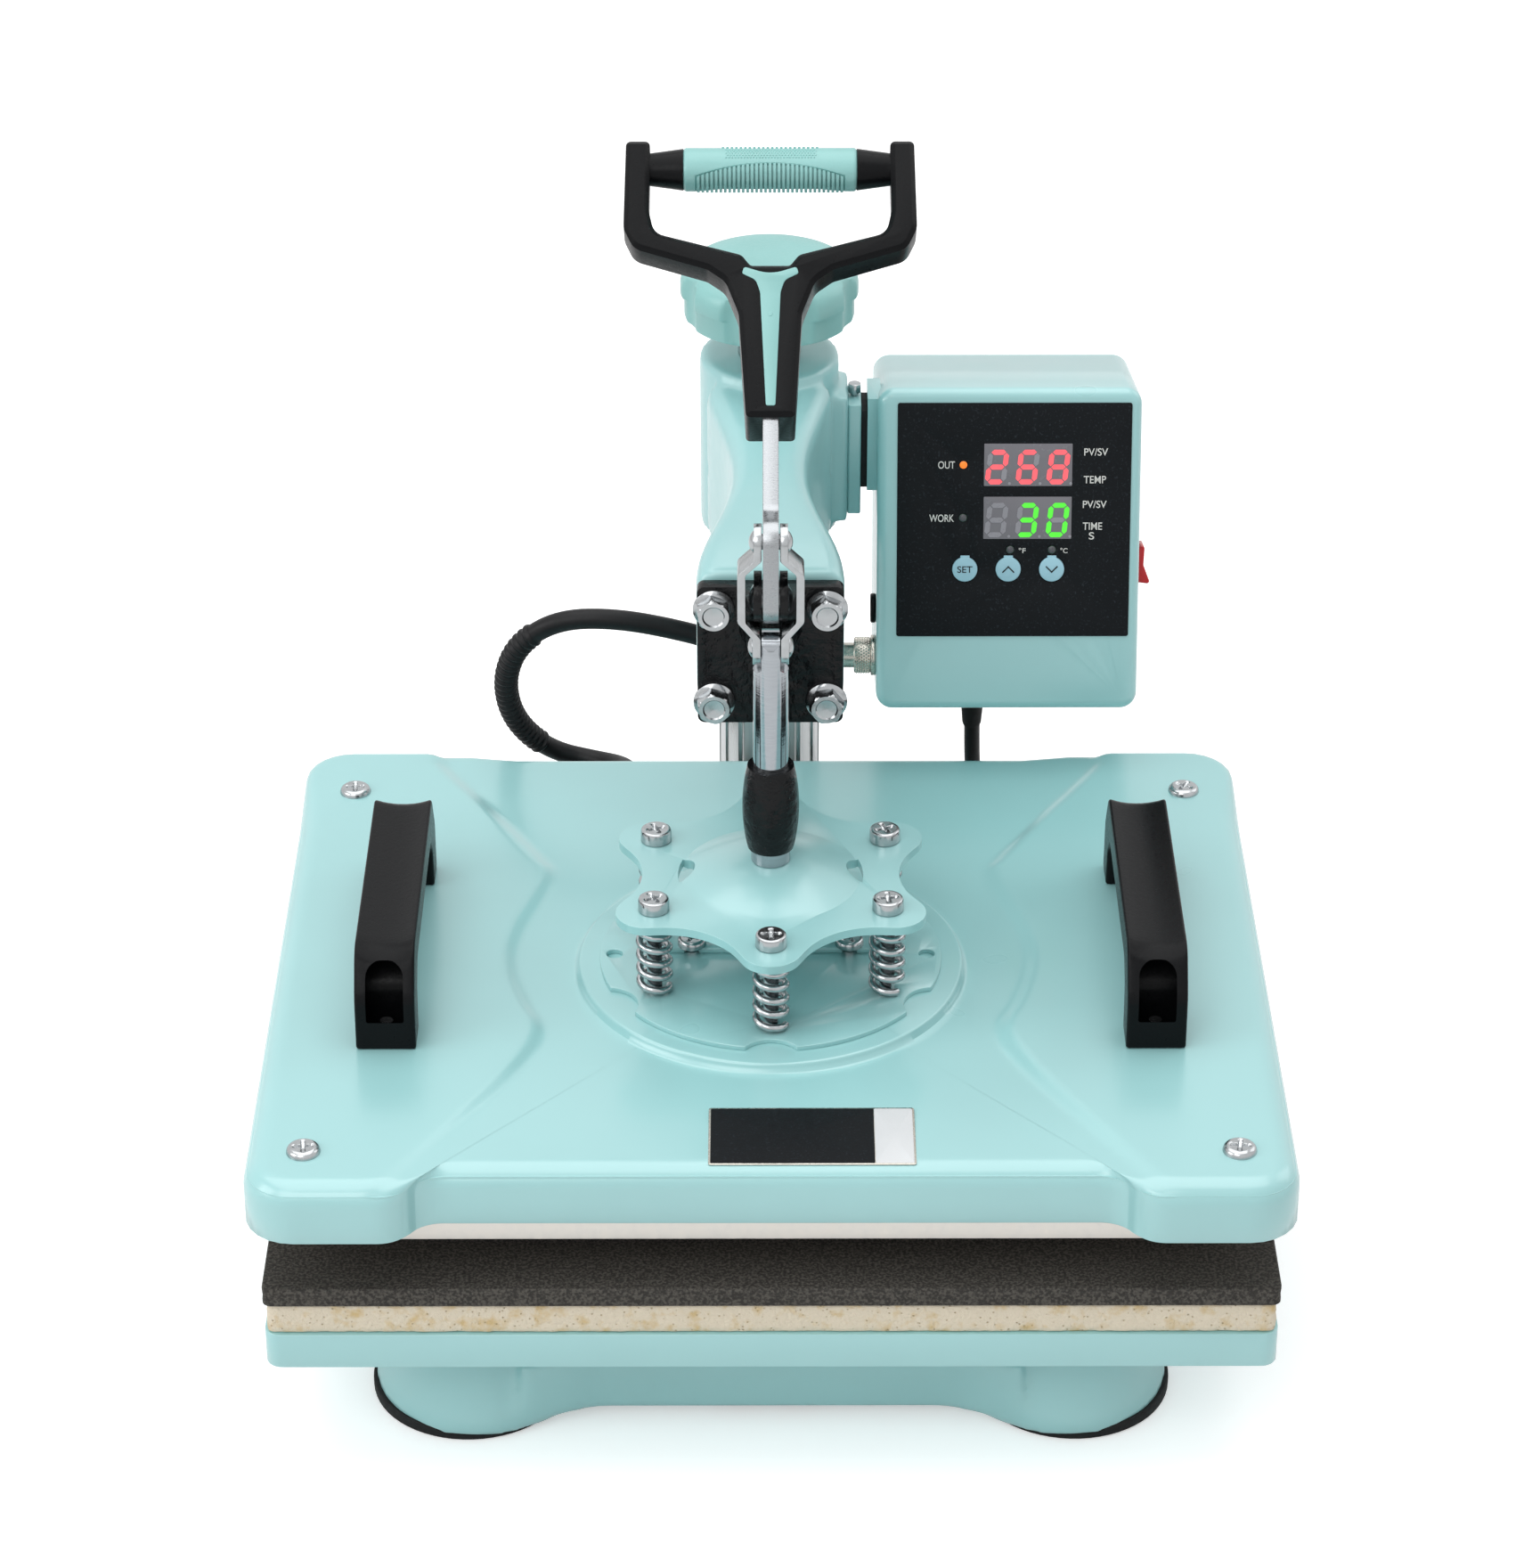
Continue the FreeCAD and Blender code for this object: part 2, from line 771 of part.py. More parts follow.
def control_bracket():
    """Upright bar on the sleeve's flat."""
    plate = prism(rectangle(bracket_x, bracket_x + bracket_thick, column_y - bracket_half,
                            column_y + bracket_half, 1), bracket_low, bracket_high)
    holes = [along_x(bracket_screw_radius + slip, bracket_x - 1, bracket_x + bracket_thick + 1, column_y, z)
             for z in bracket_screw_levels()]
    return cut(plate, holes)


def bracket_gasket():
    x0 = bracket_x + bracket_thick
    plate = box(x0, x0 + gasket_thick, column_y - bracket_half + 1, column_y + bracket_half - 1,
                gasket_low, gasket_high)
    holes = [along_x(bracket_screw_radius + slip, x0 - 1, x0 + gasket_thick + 1, column_y, z)
             for z in bracket_screw_levels()]
    return cut(plate, holes)


def bracket_screws():
    """Two screws from inside the box into the sleeve, and the clamp screw on top."""
    screws = []
    inner = box_left + box_wall
    for z in bracket_screw_levels():
        shank = along_x(bracket_screw_radius, bracket_x - bracket_screw_depth, inner, column_y, z)
        head = along_x(bracket_screw_radius * 1.8, inner, inner + 3, column_y, z)
        screws.append(join([shank, head]))
    x = bracket_x + bracket_thick / 2
    shank = rod(1.6, bracket_high, bracket_high + 1.5, x, column_y)
    head = rod(2.6, bracket_high + 1.5, bracket_high + 5.5, x, column_y)
    screws.append(join([shank, head]))
    return Part.makeCompound(screws)


# Toggle


def bolt_places():
    return [(sx * bolt_x, plate_mid + sz * bolt_dz) for sx in (-1, 1) for sz in (-1, 1)]


def toggle_base():
    plate = front_prism(rectangle(-plate_half, plate_half, plate_low, plate_high, 3), plate_front, plate_back)
    y = plunger_y
    r = ear_radius
    ear = side_prism([(plate_front + 1, plate_low + 38, 0), (plate_front + 1, plate_high + 3, 2),
                      (y + 4, pivot_z + r + 2, 8), (y - r, pivot_z + r, r), (y - r, pivot_z - r, r),
                      (y + 6, pivot_z - r, 4)],
                     ear_inner, ear_inner + ear_thick)
    wing = prism([(ear_inner, plate_front + 1, 0), (ear_inner + ear_thick, plate_front - 22, 0),
                  (ear_inner + ear_thick + 6, plate_front + 1, 0)], plate_high - 20, plate_high + 1)
    barrel_mid = (barrel_low + barrel_high) / 2
    mouth = rod_radius + running
    barrel_face = Part.Face(Part.Wire([
        Part.LineSegment(V(mouth, 0, barrel_low), V(barrel_end_radius, 0, barrel_low)).toShape(),
        Part.Arc(V(barrel_end_radius, 0, barrel_low), V(barrel_mid_radius, 0, barrel_mid),
                 V(barrel_end_radius, 0, barrel_high)).toShape(),
        Part.LineSegment(V(barrel_end_radius, 0, barrel_high), V(mouth, 0, barrel_high)).toShape(),
        Part.LineSegment(V(mouth, 0, barrel_high), V(mouth, 0, barrel_low)).toShape()]))
    barrel = barrel_face.revolve(V(0, 0, 0), V(0, 0, 1), 360)
    barrel.translate(V(0, y, 0))
    near = y + barrel_end_radius - 1
    web = side_prism([(near, barrel_low + 3, 0), (plate_front + 1, plate_low + 2, 0),
                      (plate_front + 1, plate_low + 20, 0), (near, barrel_high - 3, 0)],
                     -web_width / 2, web_width / 2)
    web = web.cut(rod(mouth, barrel_low - 1, barrel_high + 1, 0, y))
    solid = join([plate, barrel, web] + mirrored(ear) + mirrored(wing))
    tools = [bar(pivot_radius + screw_fit, V(-ear_inner * 4, y, pivot_z), V(ear_inner * 4, y, pivot_z))]
    for x, z in bolt_places():
        tools.append(bar(bolt_radius + slip, V(x, plate_front - 1, z), V(x, plate_back + 1, z)))
    return cut(solid, tools)


def flange_bolts():
    bolts = []
    for x, z in bolt_places():
        shank = rod(bolt_radius, -plate_thick - bolt_reach + 1, 0)
        flange = Part.makeCone(bolt_flange_radius, bolt_flange_radius - 1.5, bolt_flange_thick, V(0, 0, 0))
        head = hexagon(bolt_hex_flats, bolt_flange_thick, bolt_flange_thick + bolt_head_height)
        round_over = Part.makeSphere(bolt_hex_flats * 1.02, V(0, 0, bolt_flange_thick + bolt_head_height
                                                              - bolt_hex_flats * 0.86))
        bolt = join([shank, flange, head.common(round_over)])
        bolt.rotate(V(0, 0, 0), V(1, 0, 0), 90)
        bolt.translate(V(x, plate_front, z))
        bolts.append(bolt)
    return Part.makeCompound(bolts)


def cross_rivet(radius, half, head_radius, head_thick, y, z):
    """Rivet along X with a domed head on each side."""
    shank = rod(radius, -half, half)
    head = dome(head_radius, head_thick, half)
    low_head = head.mirror(V(0, 0, 0), V(0, 0, 1))
    rivet = join([shank, head, low_head])
    rivet.rotate(V(0, 0, 0), V(0, 1, 0), 90)
    rivet.translate(V(0, y, z))
    return rivet


def pivot_pin():
    return cross_rivet(pivot_radius, ear_inner + ear_thick, rivet_head_radius, rivet_head_thick,
                       plunger_y, pivot_z)


def handle_point(along, out):
    """Side-view place (y, z) of a point given along the handle and out of its face."""
    lean = math.radians(handle_lean)
    y = plunger_y + along * math.sin(lean) - out * math.cos(lean)
    z = pivot_z + handle_root + along * math.cos(lean) + out * math.sin(lean)
    return y, z


def lever_plate():
    side = 9.3
    y = plunger_y
    top = upper_pivot_z + side
    lean = math.radians(handle_lean)
    front_y, front_z = handle_point(0, bar_half)
    crook = front_y + (top - front_z) * math.tan(lean)
    back_y, back_z = handle_point(0, -bar_half)
    heel = back_z + (y + side - back_y) / math.tan(lean)
    tip_front = handle_point(bar_length, bar_half)
    tip_back = handle_point(bar_length, -bar_half)
    plate = side_prism([(y - side, pivot_z - side, side), (y + side, pivot_z - side, side),
                        (y + side, heel, 5), (tip_back[0], tip_back[1], 3), (tip_front[0], tip_front[1], 3),
                        (crook, top, 6), (y - side, top, side)], -lever_half_thick, lever_half_thick)
    tools = [bar(pivot_radius + running, V(-9, y, pivot_z), V(9, y, pivot_z)),
             bar(rivet_radius + running, V(-9, y, upper_pivot_z), V(9, y, upper_pivot_z))]
    return cut(plate, tools)


def toggle_links():
    """Two plates bowed outwards round the lever pivot."""
    top_in = ear_inner
    low_in = tongue_half + link_play
    t = link_thick
    r = link_end_radius
    a = pivot_z
    strip = [(top_in, upper_pivot_z + r + 1, 0), (top_in, a + 19, 2), (link_bow, a + 13, 2),
             (link_bow, a - 7, 2), (low_in, a - 14, 2), (low_in, lower_pivot_z - r - 1, 0),
             (low_in + t, lower_pivot_z - r - 1, 0), (low_in + t, a - 14, 0.8), (link_bow + t, a - 7, 3),
             (link_bow + t, a + 13, 3), (top_in + t, a + 19, 0.8), (top_in + t, upper_pivot_z + r + 1, 0)]
    strip_solid = front_prism(strip, plunger_y - r, plunger_y + r)
    side_view = side_prism([(plunger_y - r, lower_pivot_z - r, r), (plunger_y + r, lower_pivot_z - r, r),
                            (plunger_y + r, upper_pivot_z + r, r), (plunger_y - r, upper_pivot_z + r, r)],
                           0, link_bow + t + 2)
    plate = strip_solid.common(side_view)
    holes = [bar(rivet_radius + screw_fit, V(0, plunger_y, upper_pivot_z), V(9, plunger_y, upper_pivot_z)),
             bar(rivet_radius + screw_fit, V(0, plunger_y, lower_pivot_z), V(9, plunger_y, lower_pivot_z))]
    return Part.makeCompound(mirrored(cut(plate, holes)))


def link_rivets():
    """Through rivet at the lever, and a headed stub on each side of the plunger."""
    top = cross_rivet(rivet_radius, ear_inner + link_thick, link_rivet_head, rivet_head_thick,
                      plunger_y, upper_pivot_z)
    low_in = tongue_half + link_play
    stub = join([rod(rivet_radius, low_in, low_in + link_thick),
                 dome(link_rivet_head, rivet_head_thick, low_in + link_thick)])
    stub.rotate(V(0, 0, 0), V(0, 1, 0), 90)
    stub.translate(V(0, plunger_y, lower_pivot_z))
    return Part.makeCompound([top] + mirrored(stub))


# Handle


def limb_inner():
    return limb_outer - limb_width


def frame_corners():
    """Outer outline of the front face, from the stem up one side and down the other."""
    half = [(stem_low_half, stem_start, 2), (stem_high_half, 99, 12), (17, 112, 8), (24, 117, 6),
            (limb_outer - 4, 125.5, 7), (limb_outer, 134, 8), (limb_outer - 0.8, limb_top, 2),
            (limb_outer - limb_width - 0.8, limb_top, 2)]
    return half


def handle_frame():
    """Black frame: Y-shaped yoke, two limbs, conical ends of the grip."""
    right = frame_corners()
    inner = limb_inner()
    inside = [(inner - 0.5, 141, 4), (inner - 2.5, 132, 6), (11, 123, 4), (7.5, 118.5, 2)]
    corners = right + inside
    corners += [(-x, s, r) for x, s, r in reversed(corners)]
    frame = prism(corners, handle_face - frame_thick, handle_face)
    front = [edge for edge in frame.Edges
             if abs(edge.BoundBox.ZMin - handle_face) < 1e-6 and abs(edge.BoundBox.ZMax - handle_face) < 1e-6]
    back = [edge for edge in frame.Edges
            if abs(edge.BoundBox.ZMax - handle_face + frame_thick) < 1e-6]
    frame = frame.makeChamfer(frame_chamfer, front + back)
    stem = prism([(-stem_low_half, stem_start, 2), (stem_low_half, stem_start, 2),
                  (stem_high_half, 99, 2), (stem_high_half, 106, 2), (-stem_high_half, 106, 2),
                  (-stem_high_half, 99, 2)], handle_face - stem_thick, handle_face - 3)
    slope = side_prism([(stem_start - 1, handle_face - stem_thick, 3), (72, handle_face - stem_thick, 10),
                        (108, handle_face - frame_thick, 0), (108, handle_face, 0),
                        (stem_start - 1, handle_face, 0)], -stem_high_half - 1, stem_high_half + 1)
    stem = stem.common(slope)
    cones = []
    for side in (-1, 1):
        base = V(side * (inner - 0.2), grip_at, handle_face - frame_thick / 2)
        cones.append(Part.makeCone(grip_end_radius, grip_radius - 0.3, inner - 0.2 - grip_half,
                                   base, V(-side, 0, 0)))
    core = bar(grip_core, V(-inner, grip_at, handle_face - frame_thick / 2),
               V(inner, grip_at, handle_face - frame_thick / 2))
    whole = join([frame, stem, core] + cones)
    socket = box(-lever_half_thick - screw_fit, lever_half_thick + screw_fit, stem_start - 2,
                 bar_length + screw_fit, -bar_half - screw_fit, bar_half + screw_fit)
    return on_handle(cut(whole, [socket, inlay_solid(screw_fit, 0.5)]))


def inlay_solid(grow, proud):
    """Tapered mint strip with a flared top, let into the front face."""
    g = grow
    right = [(1.8 + g, stem_start + 4 - g, 0.8), (3.9 + g, 107, 8), (5.5 + g, 112, 4),
             (10.8 + g, 114.6 - g, 1), (10.0 + g, 117.4 + g, 1)]
    corners = right + [(0, 114.2 + g, 16)] + [(-x, s, r) for x, s, r in reversed(right)]
    return prism(corners, handle_face - inlay_depth - g, handle_face + proud)


def handle_inlay():
    return on_handle(inlay_solid(0.0, 0.3))


def grip_sleeve():
    middle = handle_face - frame_thick / 2
    sleeve = along_x(grip_radius, -grip_half, grip_half, grip_at, middle)
    bore = along_x(grip_core + screw_fit, -grip_half - 1, grip_half + 1, grip_at, middle)
    return on_handle(sleeve.cut(bore))


# Plunger and suspension


def plunger_rod():
    y = plunger_y
    shoulder = lower_pivot_z - shoulder_drop
    tip = lower_pivot_z + rod_radius
    body = rod(rod_radius, dome_top, tip, 0, y)
    thread = rod(rod_thread_radius, dome_top - spider_thick - rod_end_nut, dome_top, 0, y)
    collar = rod(rod_collar_radius, dome_top, dome_top + rod_collar_height, 0, y)
    edge = tongue_half + shoulder_cut
    flat = front_prism([(tongue_half, shoulder + shoulder_cut, 0), (edge, shoulder, shoulder_cut),
                        (edge + 9, shoulder, 0), (edge + 9, tip + 1, 0), (tongue_half, tip + 1, 0)],
                       y - rod_radius - 1, y + rod_radius + 1)
    profile = side_prism([(y - rod_radius, dome_top - 40, 0), (y + rod_radius, dome_top - 40, 0),
                          (y + rod_radius, tip, rod_radius * 0.98), (y - rod_radius, tip, rod_radius * 0.98)],
                         -rod_radius - 1, rod_radius + 1)
    return join([cut(body, mirrored(flat)).common(profile), thread, collar])


def spring_places():
    places = []
    for i in range(spring_count):
        angle = math.radians(-90 + 360 / spring_count * i)
        places.append((spring_circle * math.cos(angle), plunger_y + spring_circle * math.sin(angle)))
    return places


def spider_plate():
    corners = []
    for i in range(spring_count):
        tip = math.radians(-90 + 360 / spring_count * i)
        valley = math.radians(-90 + 360 / spring_count * (i + 0.5))
        corners.append((spider_tip * math.cos(tip), plunger_y + spider_tip * math.sin(tip), spider_tip_round))
        corners.append((spider_valley * math.cos(valley), plunger_y + spider_valley * math.sin(valley),
                        spider_valley_round))
    plate = prism(corners, spider_low, spider_high)
    ball = (dome_radius * dome_radius + dome_height * dome_height) / (2 * dome_height)
    centre = V(0, plunger_y, dome_top - ball)
    cap = Part.makeSphere(ball, centre)
    cap = cap.common(rod(dome_radius + 1, spider_high - 1, dome_top + 1, 0, plunger_y))
    inside = Part.makeSphere(ball - spider_thick, centre)
    inside = inside.common(rod(dome_radius + 1, spider_low - 1, dome_top, 0, plunger_y))
    tools = [inside, rod(rod_thread_radius + screw_fit, spider_low, dome_top + 1, 0, plunger_y)]
    tools += [rod(spring_screw_radius + slip, spider_low - 1, spider_high + 1, x, y)
              for x, y in spring_places()]
    reach = rod(slot_reach, spider_low - 1, dome_top + 1, 0, plunger_y)
    for x in (-slot_x, slot_x):
        tools.append(reach.common(rod(slot_radius, spider_low - 1, dome_top + 1, x, plunger_y + slot_y)))
    return cut(join([plate, cap]), tools)


def springs():
    height = spider_low - disc_top - 2 * spring_wire - 0.1
    mean = spring_outer - spring_wire
    helix = Part.makeHelix(height / spring_turns, height, mean)
    section = Part.Wire(Part.makeCircle(spring_wire, V(mean, 0, 0), V(0, 1, 0)))
    coil = Part.Wire(helix).makePipeShell([section], True, True)
    coils = []
    for x, y in spring_places():
        one = coil.copy()
        one.translate(V(x, y, disc_top + spring_wire + 0.05))
        coils.append(one)
    return Part.makeCompound(coils)


def spring_screws():
    screws = []
    head_low = spider_high + slip
    head_high = head_low + spring_screw_head_height
    for x, y in spring_places():
        shank = rod(spring_screw_radius, ring_top, head_low, 0, 0)
        head = rod(spring_screw_head, head_low, head_high, 0, 0)
        screw = join([shank, head]).cut(cross_recess(spring_screw_head * 1.1, 2.4, head_high))
        screw.translate(V(x, y, 0))
        screws.append(screw)
    return Part.makeCompound(screws)


# Upper platen


def cover_outline(inset, low, high):
    """Cover plan with its recessed middle front and back, drawn in by inset."""
    i = inset
    w = cover_half_width - i
    front = plunger_y + cover_front + i
    back = plunger_y + cover_back - i
    r = max(cover_corner - i, 1.0)
    b = bevel_round
    right = [(front_bevel_inner - i, front + front_recess, b), (front_bevel_outer - i, front, b),
             (w, front, r), (w, back, r), (rear_bevel_outer - i, back, b),
             (rear_bevel_inner - i, back - rear_recess, b)]
    left = [(-x, y, radius) for x, y, radius in reversed(right)]
    return prism(right + left, low, high)


def top_edges(solid, level):
    return [edge for edge in solid.Edges
            if abs(edge.BoundBox.ZMin - level) < 1e-6 and abs(edge.BoundBox.ZMax - level) < 1e-6]


def corner_screw_places():
    return [(sx * corner_screw_x, plunger_y + sy * corner_screw_y) for sx in (-1, 1) for sy in (-1, 1)]


def side_screw_places():
    inset = side_handle_leg / 2
    return [(sx * side_handle_x, plunger_y + y) for sx in (-1, 1)
            for y in (side_handle_front + inset, side_handle_back - inset)]


def platen_cover():
    outer = cover_outline(0.0, cover_low, cover_top)
    outer = outer.makeFillet(cover_round, top_edges(outer, cover_top))
    inner = cover_outline(cover_wall, cover_low - 1, cover_inside)
    inner = inner.makeFillet(cover_round - cover_wall, top_edges(inner, cover_inside))
    ring = rod(ring_radius, cover_top - cover_wall, ring_top, 0, plunger_y)
    ring = ring.makeFillet(ring_height * 0.7, top_edges(ring, ring_top))
    solid = join([outer.cut(inner), ring])
    tools = [rod(corner_screw_radius + slip, cover_low, cover_top + 1, x, y)
             for x, y in corner_screw_places()]
    tools += [rod(side_screw_radius + slip, cover_low, cover_top + 1, x, y)
              for x, y in side_screw_places()]
    tools.append(along_y(gland_radius * 0.75, gland_x, gland_face - 4, gland_face + 4, gland_z))
    for x, y in spring_places():
        tools.append(rod(spring_screw_radius + slip, ring_top - 2.2, ring_top + 1, x, y))
    return cut(solid, tools)


def mounting_disc():
    disc = rod(disc_radius, ring_top, disc_top, 0, plunger_y)
    tools = []
    reach = disc_radius + disc_notch_radius - disc_notch
    for i in range(spring_count):
        angle = math.radians(-90 + 360 / spring_count * i)
        tools.append(rod(disc_notch_radius, ring_top - 1, disc_top + 1, reach * math.cos(angle),
                         plunger_y + reach * math.sin(angle)))
    for x, y in spring_places():
        tools.append(rod(spring_screw_radius + screw_fit, ring_top - 1, disc_top + 1, x, y))
    for side in (-1, 1):
        tools.append(rod(disc_hole_radius, ring_top - 1, disc_top + 1, side * disc_hole_x, plunger_y))
        tools.append(rod(strap_screw_radius + screw_fit, ring_top - 1, disc_top + 1, side * strap_screw_x,
                         plunger_y + strap_screw_y))
    return cut(disc, tools)


def clamp_strap():
    """Strap across the disc, open at the front round its two screws."""
    plate = prism(rectangle(-strap_half, strap_half, plunger_y + strap_front, plunger_y + strap_back, 2),
                  disc_top, disc_top + strap_thick)
    tools = []
    for side in (-1, 1):
        x = side * strap_screw_x
        y = plunger_y + strap_screw_y
        tools.append(rod(strap_screw_radius + slip, disc_top - 1, disc_top + strap_thick + 1, x, y))
        tools.append(box(x - strap_screw_radius - slip, x + strap_screw_radius + slip, y - 20, y,
                         disc_top - 1, disc_top + strap_thick + 1))
    for x, y in spring_places():
        tools.append(rod(spring_outer + 1, disc_top - 1, disc_top + strap_thick + 1, x, y))
    return cut(plate, tools)


def strap_screws():
    screws = []
    head_low = disc_top + strap_thick
    for side in (-1, 1):
        shank = rod(strap_screw_radius, ring_top, head_low)
        head = dome(strap_screw_head, 3.0, head_low)
        screw = join([shank, head]).cut(cross_recess(strap_screw_head, 1.6, head_low + 3.0))
        screw.translate(V(side * strap_screw_x, plunger_y + strap_screw_y, 0))
        screws.append(screw)
    return Part.makeCompound(screws)


def heating_plate():
    plate = prism(rectangle(-heater_half_width, heater_half_width, plunger_y + heater_front,
                            plunger_y + heater_back, heater_corner), heater_low, heater_high)
    bosses = [rod(corner_boss_radius, heater_high - 1, cover_inside, x, y) for x, y in corner_screw_places()]
    holes = [rod(corner_screw_radius + screw_fit, cover_top - corner_screw_reach - 1, cover_top, x, y)
             for x, y in corner_screw_places()]
    return cut(join([plate] + bosses), holes)


def heating_element():
    """Tubular element bent into a long M, lying on the heating plate."""
    front = plunger_y + element_front
    back = plunger_y + element_back
    half = element_half_width
    inner = half / 3
    z = element_z
    points = [V(-half, back, z), V(-half, front, z), V(-inner, front, z), V(-inner, back * 0.9, z),
              V(inner, back * 0.9, z), V(inner, front, z), V(half, front, z), V(half, back, z)]
    radius = min(element_half_width / 6, 30)
    flat = [(p.x, p.y, radius) for p in points]
    edges = []
    rounds = corner_rounds(flat)
    last = points[0]
    for start, middle, end in rounds[1:-1]:
        lift = V(0, 0, z)
        edges.append(Part.LineSegment(last, start + lift).toShape())
        edges.append(Part.Arc(start + lift, middle + lift, end + lift).toShape())
        last = end + lift
    edges.append(Part.LineSegment(last, points[-1]).toShape())
    section = Part.Wire(Part.makeCircle(element_radius, points[0], V(0, -1, 0)))
    return Part.Wire(edges).makePipeShell([section], True, False)


def insulation_board():
    board = prism(rectangle(-heater_half_width + insulation_inset, heater_half_width - insulation_inset,
                            plunger_y + heater_front + insulation_inset,
                            plunger_y + heater_back - insulation_inset, heater_corner),
                  insulation_low, insulation_high)
    holes = [rod(corner_boss_radius + slip, insulation_low - 1, insulation_high + 1, x, y)
             for x, y in corner_screw_places()]
    return cut(board, holes)


def corner_screws():
    screws = []
    for x, y in corner_screw_places():
        shank = rod(corner_screw_radius, cover_top - corner_screw_reach, cover_top)
        head = dome(corner_screw_head, 2.6, cover_top)
        screw = join([shank, head]).cut(cross_recess(corner_screw_head * 1.1, 1.5, cover_top + 2.6))
        screw.translate(V(x, y, 0))
        screws.append(screw)
    return Part.makeCompound(screws)


def side_handles():
    front = plunger_y + side_handle_front
    back = plunger_y + side_handle_back
    low = cover_top
    top = cover_top + side_handle_height
    under = top - side_handle_bar
    half = side_handle_width / 2
    leg = side_handle_leg
    profile = [(front, low, 1), (front + leg, low, 1), (front + leg + 2, under - 8, 8),
               (front + leg + 10, under, 6), (back - leg - 10, under, 6), (back - leg - 2, under - 8, 8),
               (back - leg, low, 1), (back, low, 1), (back - 1, top - 13, 8), (back - 9, top, 8),
               (front + 9, top, 8), (front + 1, top - 13, 8)]
    handle = side_prism(profile, side_handle_x - half, side_handle_x + half)
    groove_radius = 46.0
    groove = bar(groove_radius, V(side_handle_x, front - 1, top + groove_radius - 1.3),
                 V(side_handle_x, back + 1, top + groove_radius - 1.3))
    x0 = side_handle_x - side_recess_half
    x1 = side_handle_x + side_recess_half
    recess_low = low + side_recess_low
    tools = [groove, box(x0, x1, front - 5, front + side_recess_depth, recess_low, top - 4),
             box(x0, x1, back - side_recess_depth, back + 5, recess_low, top - 4)]
    inset = leg / 2
    for y in (front + inset, back - inset):
        tools.append(rod(side_screw_radius + screw_fit, low - 1, low + 9, side_handle_x, y))
    return Part.makeCompound(mirrored(cut(handle, tools)))


def handle_screws():
    """Screws from inside the cover into the feet of the side handles."""
    screws = []
    for x, y in side_screw_places():
        shank = rod(side_screw_radius, cover_inside, cover_top + 8.5, x, y)
        head = rod(side_screw_radius * 1.8, cover_inside - 2.4, cover_inside, x, y)
        screws.append(join([shank, head]))
    return Part.makeCompound(screws)


def cable_gland():
    inside = gland_face - cover_wall
    collar_end = gland_face + gland_collar
    nut = along_y(gland_radius * 0.9, gland_x, inside - 3, inside, gland_z)
    neck = along_y(gland_radius * 0.75 - 0.1, gland_x, inside - 3, gland_face + 2, gland_z)
    collar = along_y(gland_radius, gland_x, gland_face, collar_end, gland_z)
    cap = Part.makeCone(gland_radius, cable_radius + 1.6, gland_length - gland_collar,
                        V(gland_x, collar_end, gland_z), V(0, 1, 0))
    return join([nut, neck, collar, cap])


# Control box, made across (x), up the panel (y) and out of the panel (z)


def box_plan(inset, radius):
    half = box_width / 2 - inset
    return rectangle(-half, half, inset, box_height - inset, radius)


def box_screw_places():
    half = box_width / 2 - box_screw_inset
    return [(sx * half, y) for sx in (-1, 1) for y in (box_screw_inset, box_height - box_screw_inset)]


def button_places():
    return [-button_pitch, 0.0, button_pitch]


def lamp_places():
    return [(-19.0, red_y), (-19.0, green_y), (0.7, 68.5), (18.0, 68.5)]


def display_hole(y, grow, z0, z1):
    half = display_width / 2 + grow
    tall = display_height / 2 + grow
    return box(display_x - half, display_x + half, y - tall, y + tall, z0, z1)


def box_frame():
    return FreeCAD.Placement(V(box_x, box_front_y, box_front_z), FreeCAD.Rotation(V(1, 0, 0), 90 - box_tilt))


def to_box(point):
    """A point of the press, in the control box's own frame."""
    return box_frame().inverse().multVec(point)


def press_axis_in_box(start, end, radius):
    """Round cutter given in the press's frame, moved into the box's frame."""
    return bar(radius, to_box(start), to_box(end))


